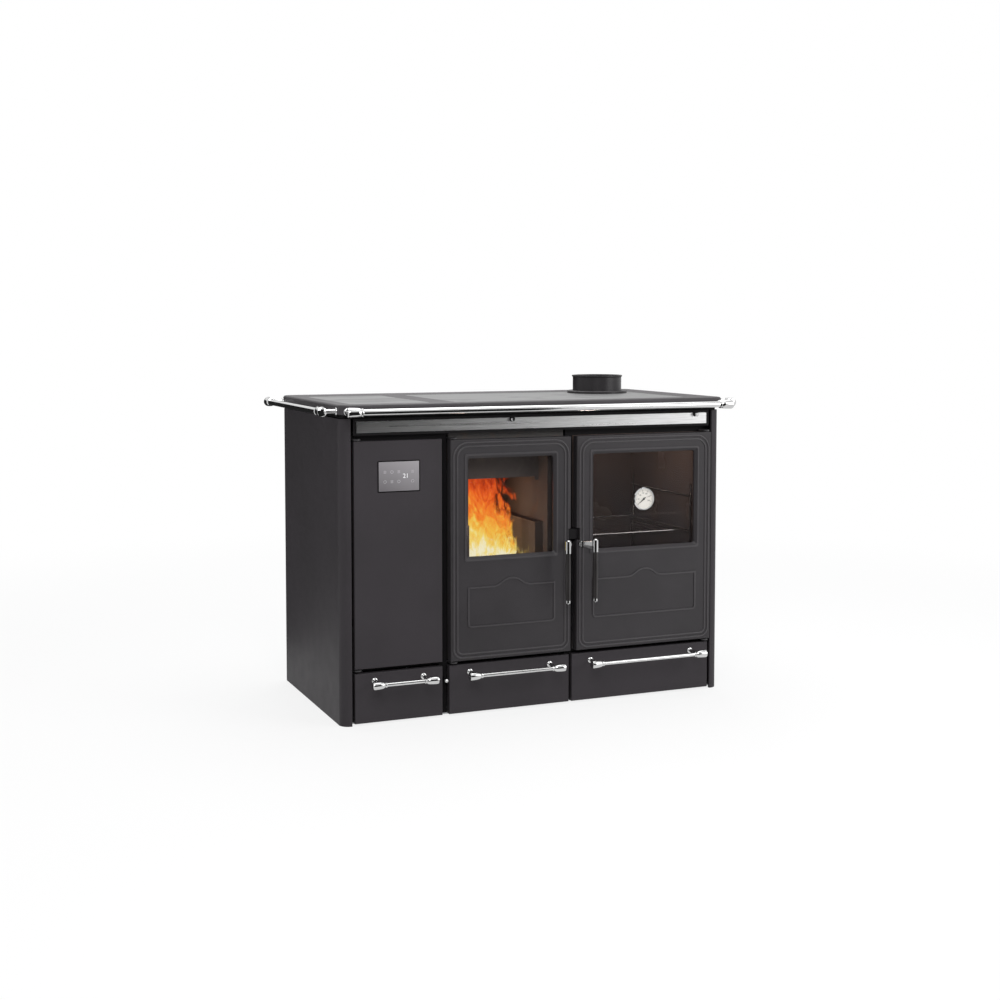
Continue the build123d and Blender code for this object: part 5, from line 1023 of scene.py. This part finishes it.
# Each soft light: its place, what it looks at, its size and its power
SOFT_LIGHTS = [("key_light", (-1.5, -3.6, 2.9), (0, 0, 0.5), (2.2, 2.2), 85),
               ("fill_light", (2.8, -3.0, 1.9), (0.2, 0, 0.5), (2.0, 2.4), 60),
               ("top_light", (0.3, 0.4, 3.4), (0, 0, 0.8), (3.0, 2.2), 60),
               ("back_light", (0.6, 2.6, 3.4), (0, 0.3, 0.4), (2.2, 1.6), 30)]


def studio_floor():
    """A pale floor that reads as white and keeps the stove's soft shadow."""
    f = Finish("studio_floor")
    seen = (f.node("LightPath", output="Is Camera Ray")
            + f.node("LightPath", output="Is Glossy Ray")
            + f.node("LightPath", output="Is Transmission Ray")).least(1.0)
    distance = f.node("VectorMath", {"operation": "LENGTH"}, {0: f.here}, "Value")
    far = distance.rise(*FLOOR_FADE)
    lit = f.node("BsdfDiffuse", {}, {0: grey(0.86)})
    glow = f.node("Emission", {}, {0: grey(1.0), 1: 1.0})
    finish = f.done(f.node("MixShader", {}, {0: seen * (0.80 + 0.20 * far), 1: lit, 2: glow}))
    mesh = bpy.data.meshes.new("floor")
    corners = [(x * FLOOR_HALF, y * FLOOR_HALF, 0)
               for x, y in ((-1, -1), (1, -1), (1, 1), (-1, 1))]
    mesh.from_pydata(corners, [], [(0, 1, 2, 3)])
    mesh.materials.append(finish)
    floor = placed("floor", mesh)


def dark_screen(name, start, sweep, height):
    """A dark curved screen and the dark ground before it, which only reflections see."""
    f = Finish(name)
    finish = f.done(f.node("Emission", {}, {0: grey(SCREEN_LEVEL), 1: 1.0}))
    points, faces = [], []
    for step in range(SCREEN_STEPS + 1):
        a = math.radians(start + sweep * step / SCREEN_STEPS)
        for radius, z in ((SCREEN_NEAR, SCREEN_FOOT), (SCREEN_FAR, SCREEN_FOOT),
                          (SCREEN_FAR, height)):
            points.append((radius * math.sin(a), -radius * math.cos(a), z))
    for step in range(SCREEN_STEPS):
        a = 3 * step
        faces += [(a, a + 3, a + 4, a + 1), (a + 1, a + 4, a + 5, a + 2)]
    mesh = bpy.data.meshes.new(name)
    mesh.from_pydata(points, [], faces)
    mesh.materials.append(finish)
    screen = placed(name, mesh)
    screen.visible_camera = False
    screen.visible_diffuse = False
    screen.visible_transmission = False
    screen.visible_shadow = False


def soft_light(name, place, aim, size, power):
    """A large white lamp that looks at a point."""
    data = bpy.data.lights.new(name, "AREA")
    data.shape = "RECTANGLE"
    data.size, data.size_y = size
    data.energy = power
    lamp = placed(name, data)
    lamp.location = place
    lamp.rotation_euler = (Vector(aim) - Vector(place)).to_track_quat("-Z", "Y").to_euler()


def glow_light(name, place, power, colour, radius):
    """A small warm lamp inside the stove."""
    data = bpy.data.lights.new(name, "POINT")
    data.energy = power
    data.color = colour
    data.shadow_soft_size = radius
    placed(name, data).location = place


def studio_world():
    """White where it is seen or mirrored, and a calmer level where it lights the stove."""
    world = bpy.data.worlds.new("studio")
    bpy.context.scene.world = world
    n = Nodes(world)
    seen = (n.node("LightPath", output="Is Camera Ray")
            .most(n.node("LightPath", output="Is Transmission Ray"))
            .most(n.node("LightPath", output="Is Glossy Ray")))
    light = n.node("Background", {}, {0: WORLD_COLOUR, 1: WORLD_LIGHT})
    white = n.node("Background", {}, {0: grey(1.0), 1: 1.0})
    n.node("OutputWorld", {}, {0: n.node("MixShader", {}, {0: seen, 1: light, 2: white})})


studio_floor()
for screen in SCREENS:
    dark_screen(*screen)
studio_world()
for glow in GLOWS:
    glow_light(*glow)
for light in SOFT_LIGHTS:
    soft_light(*light)
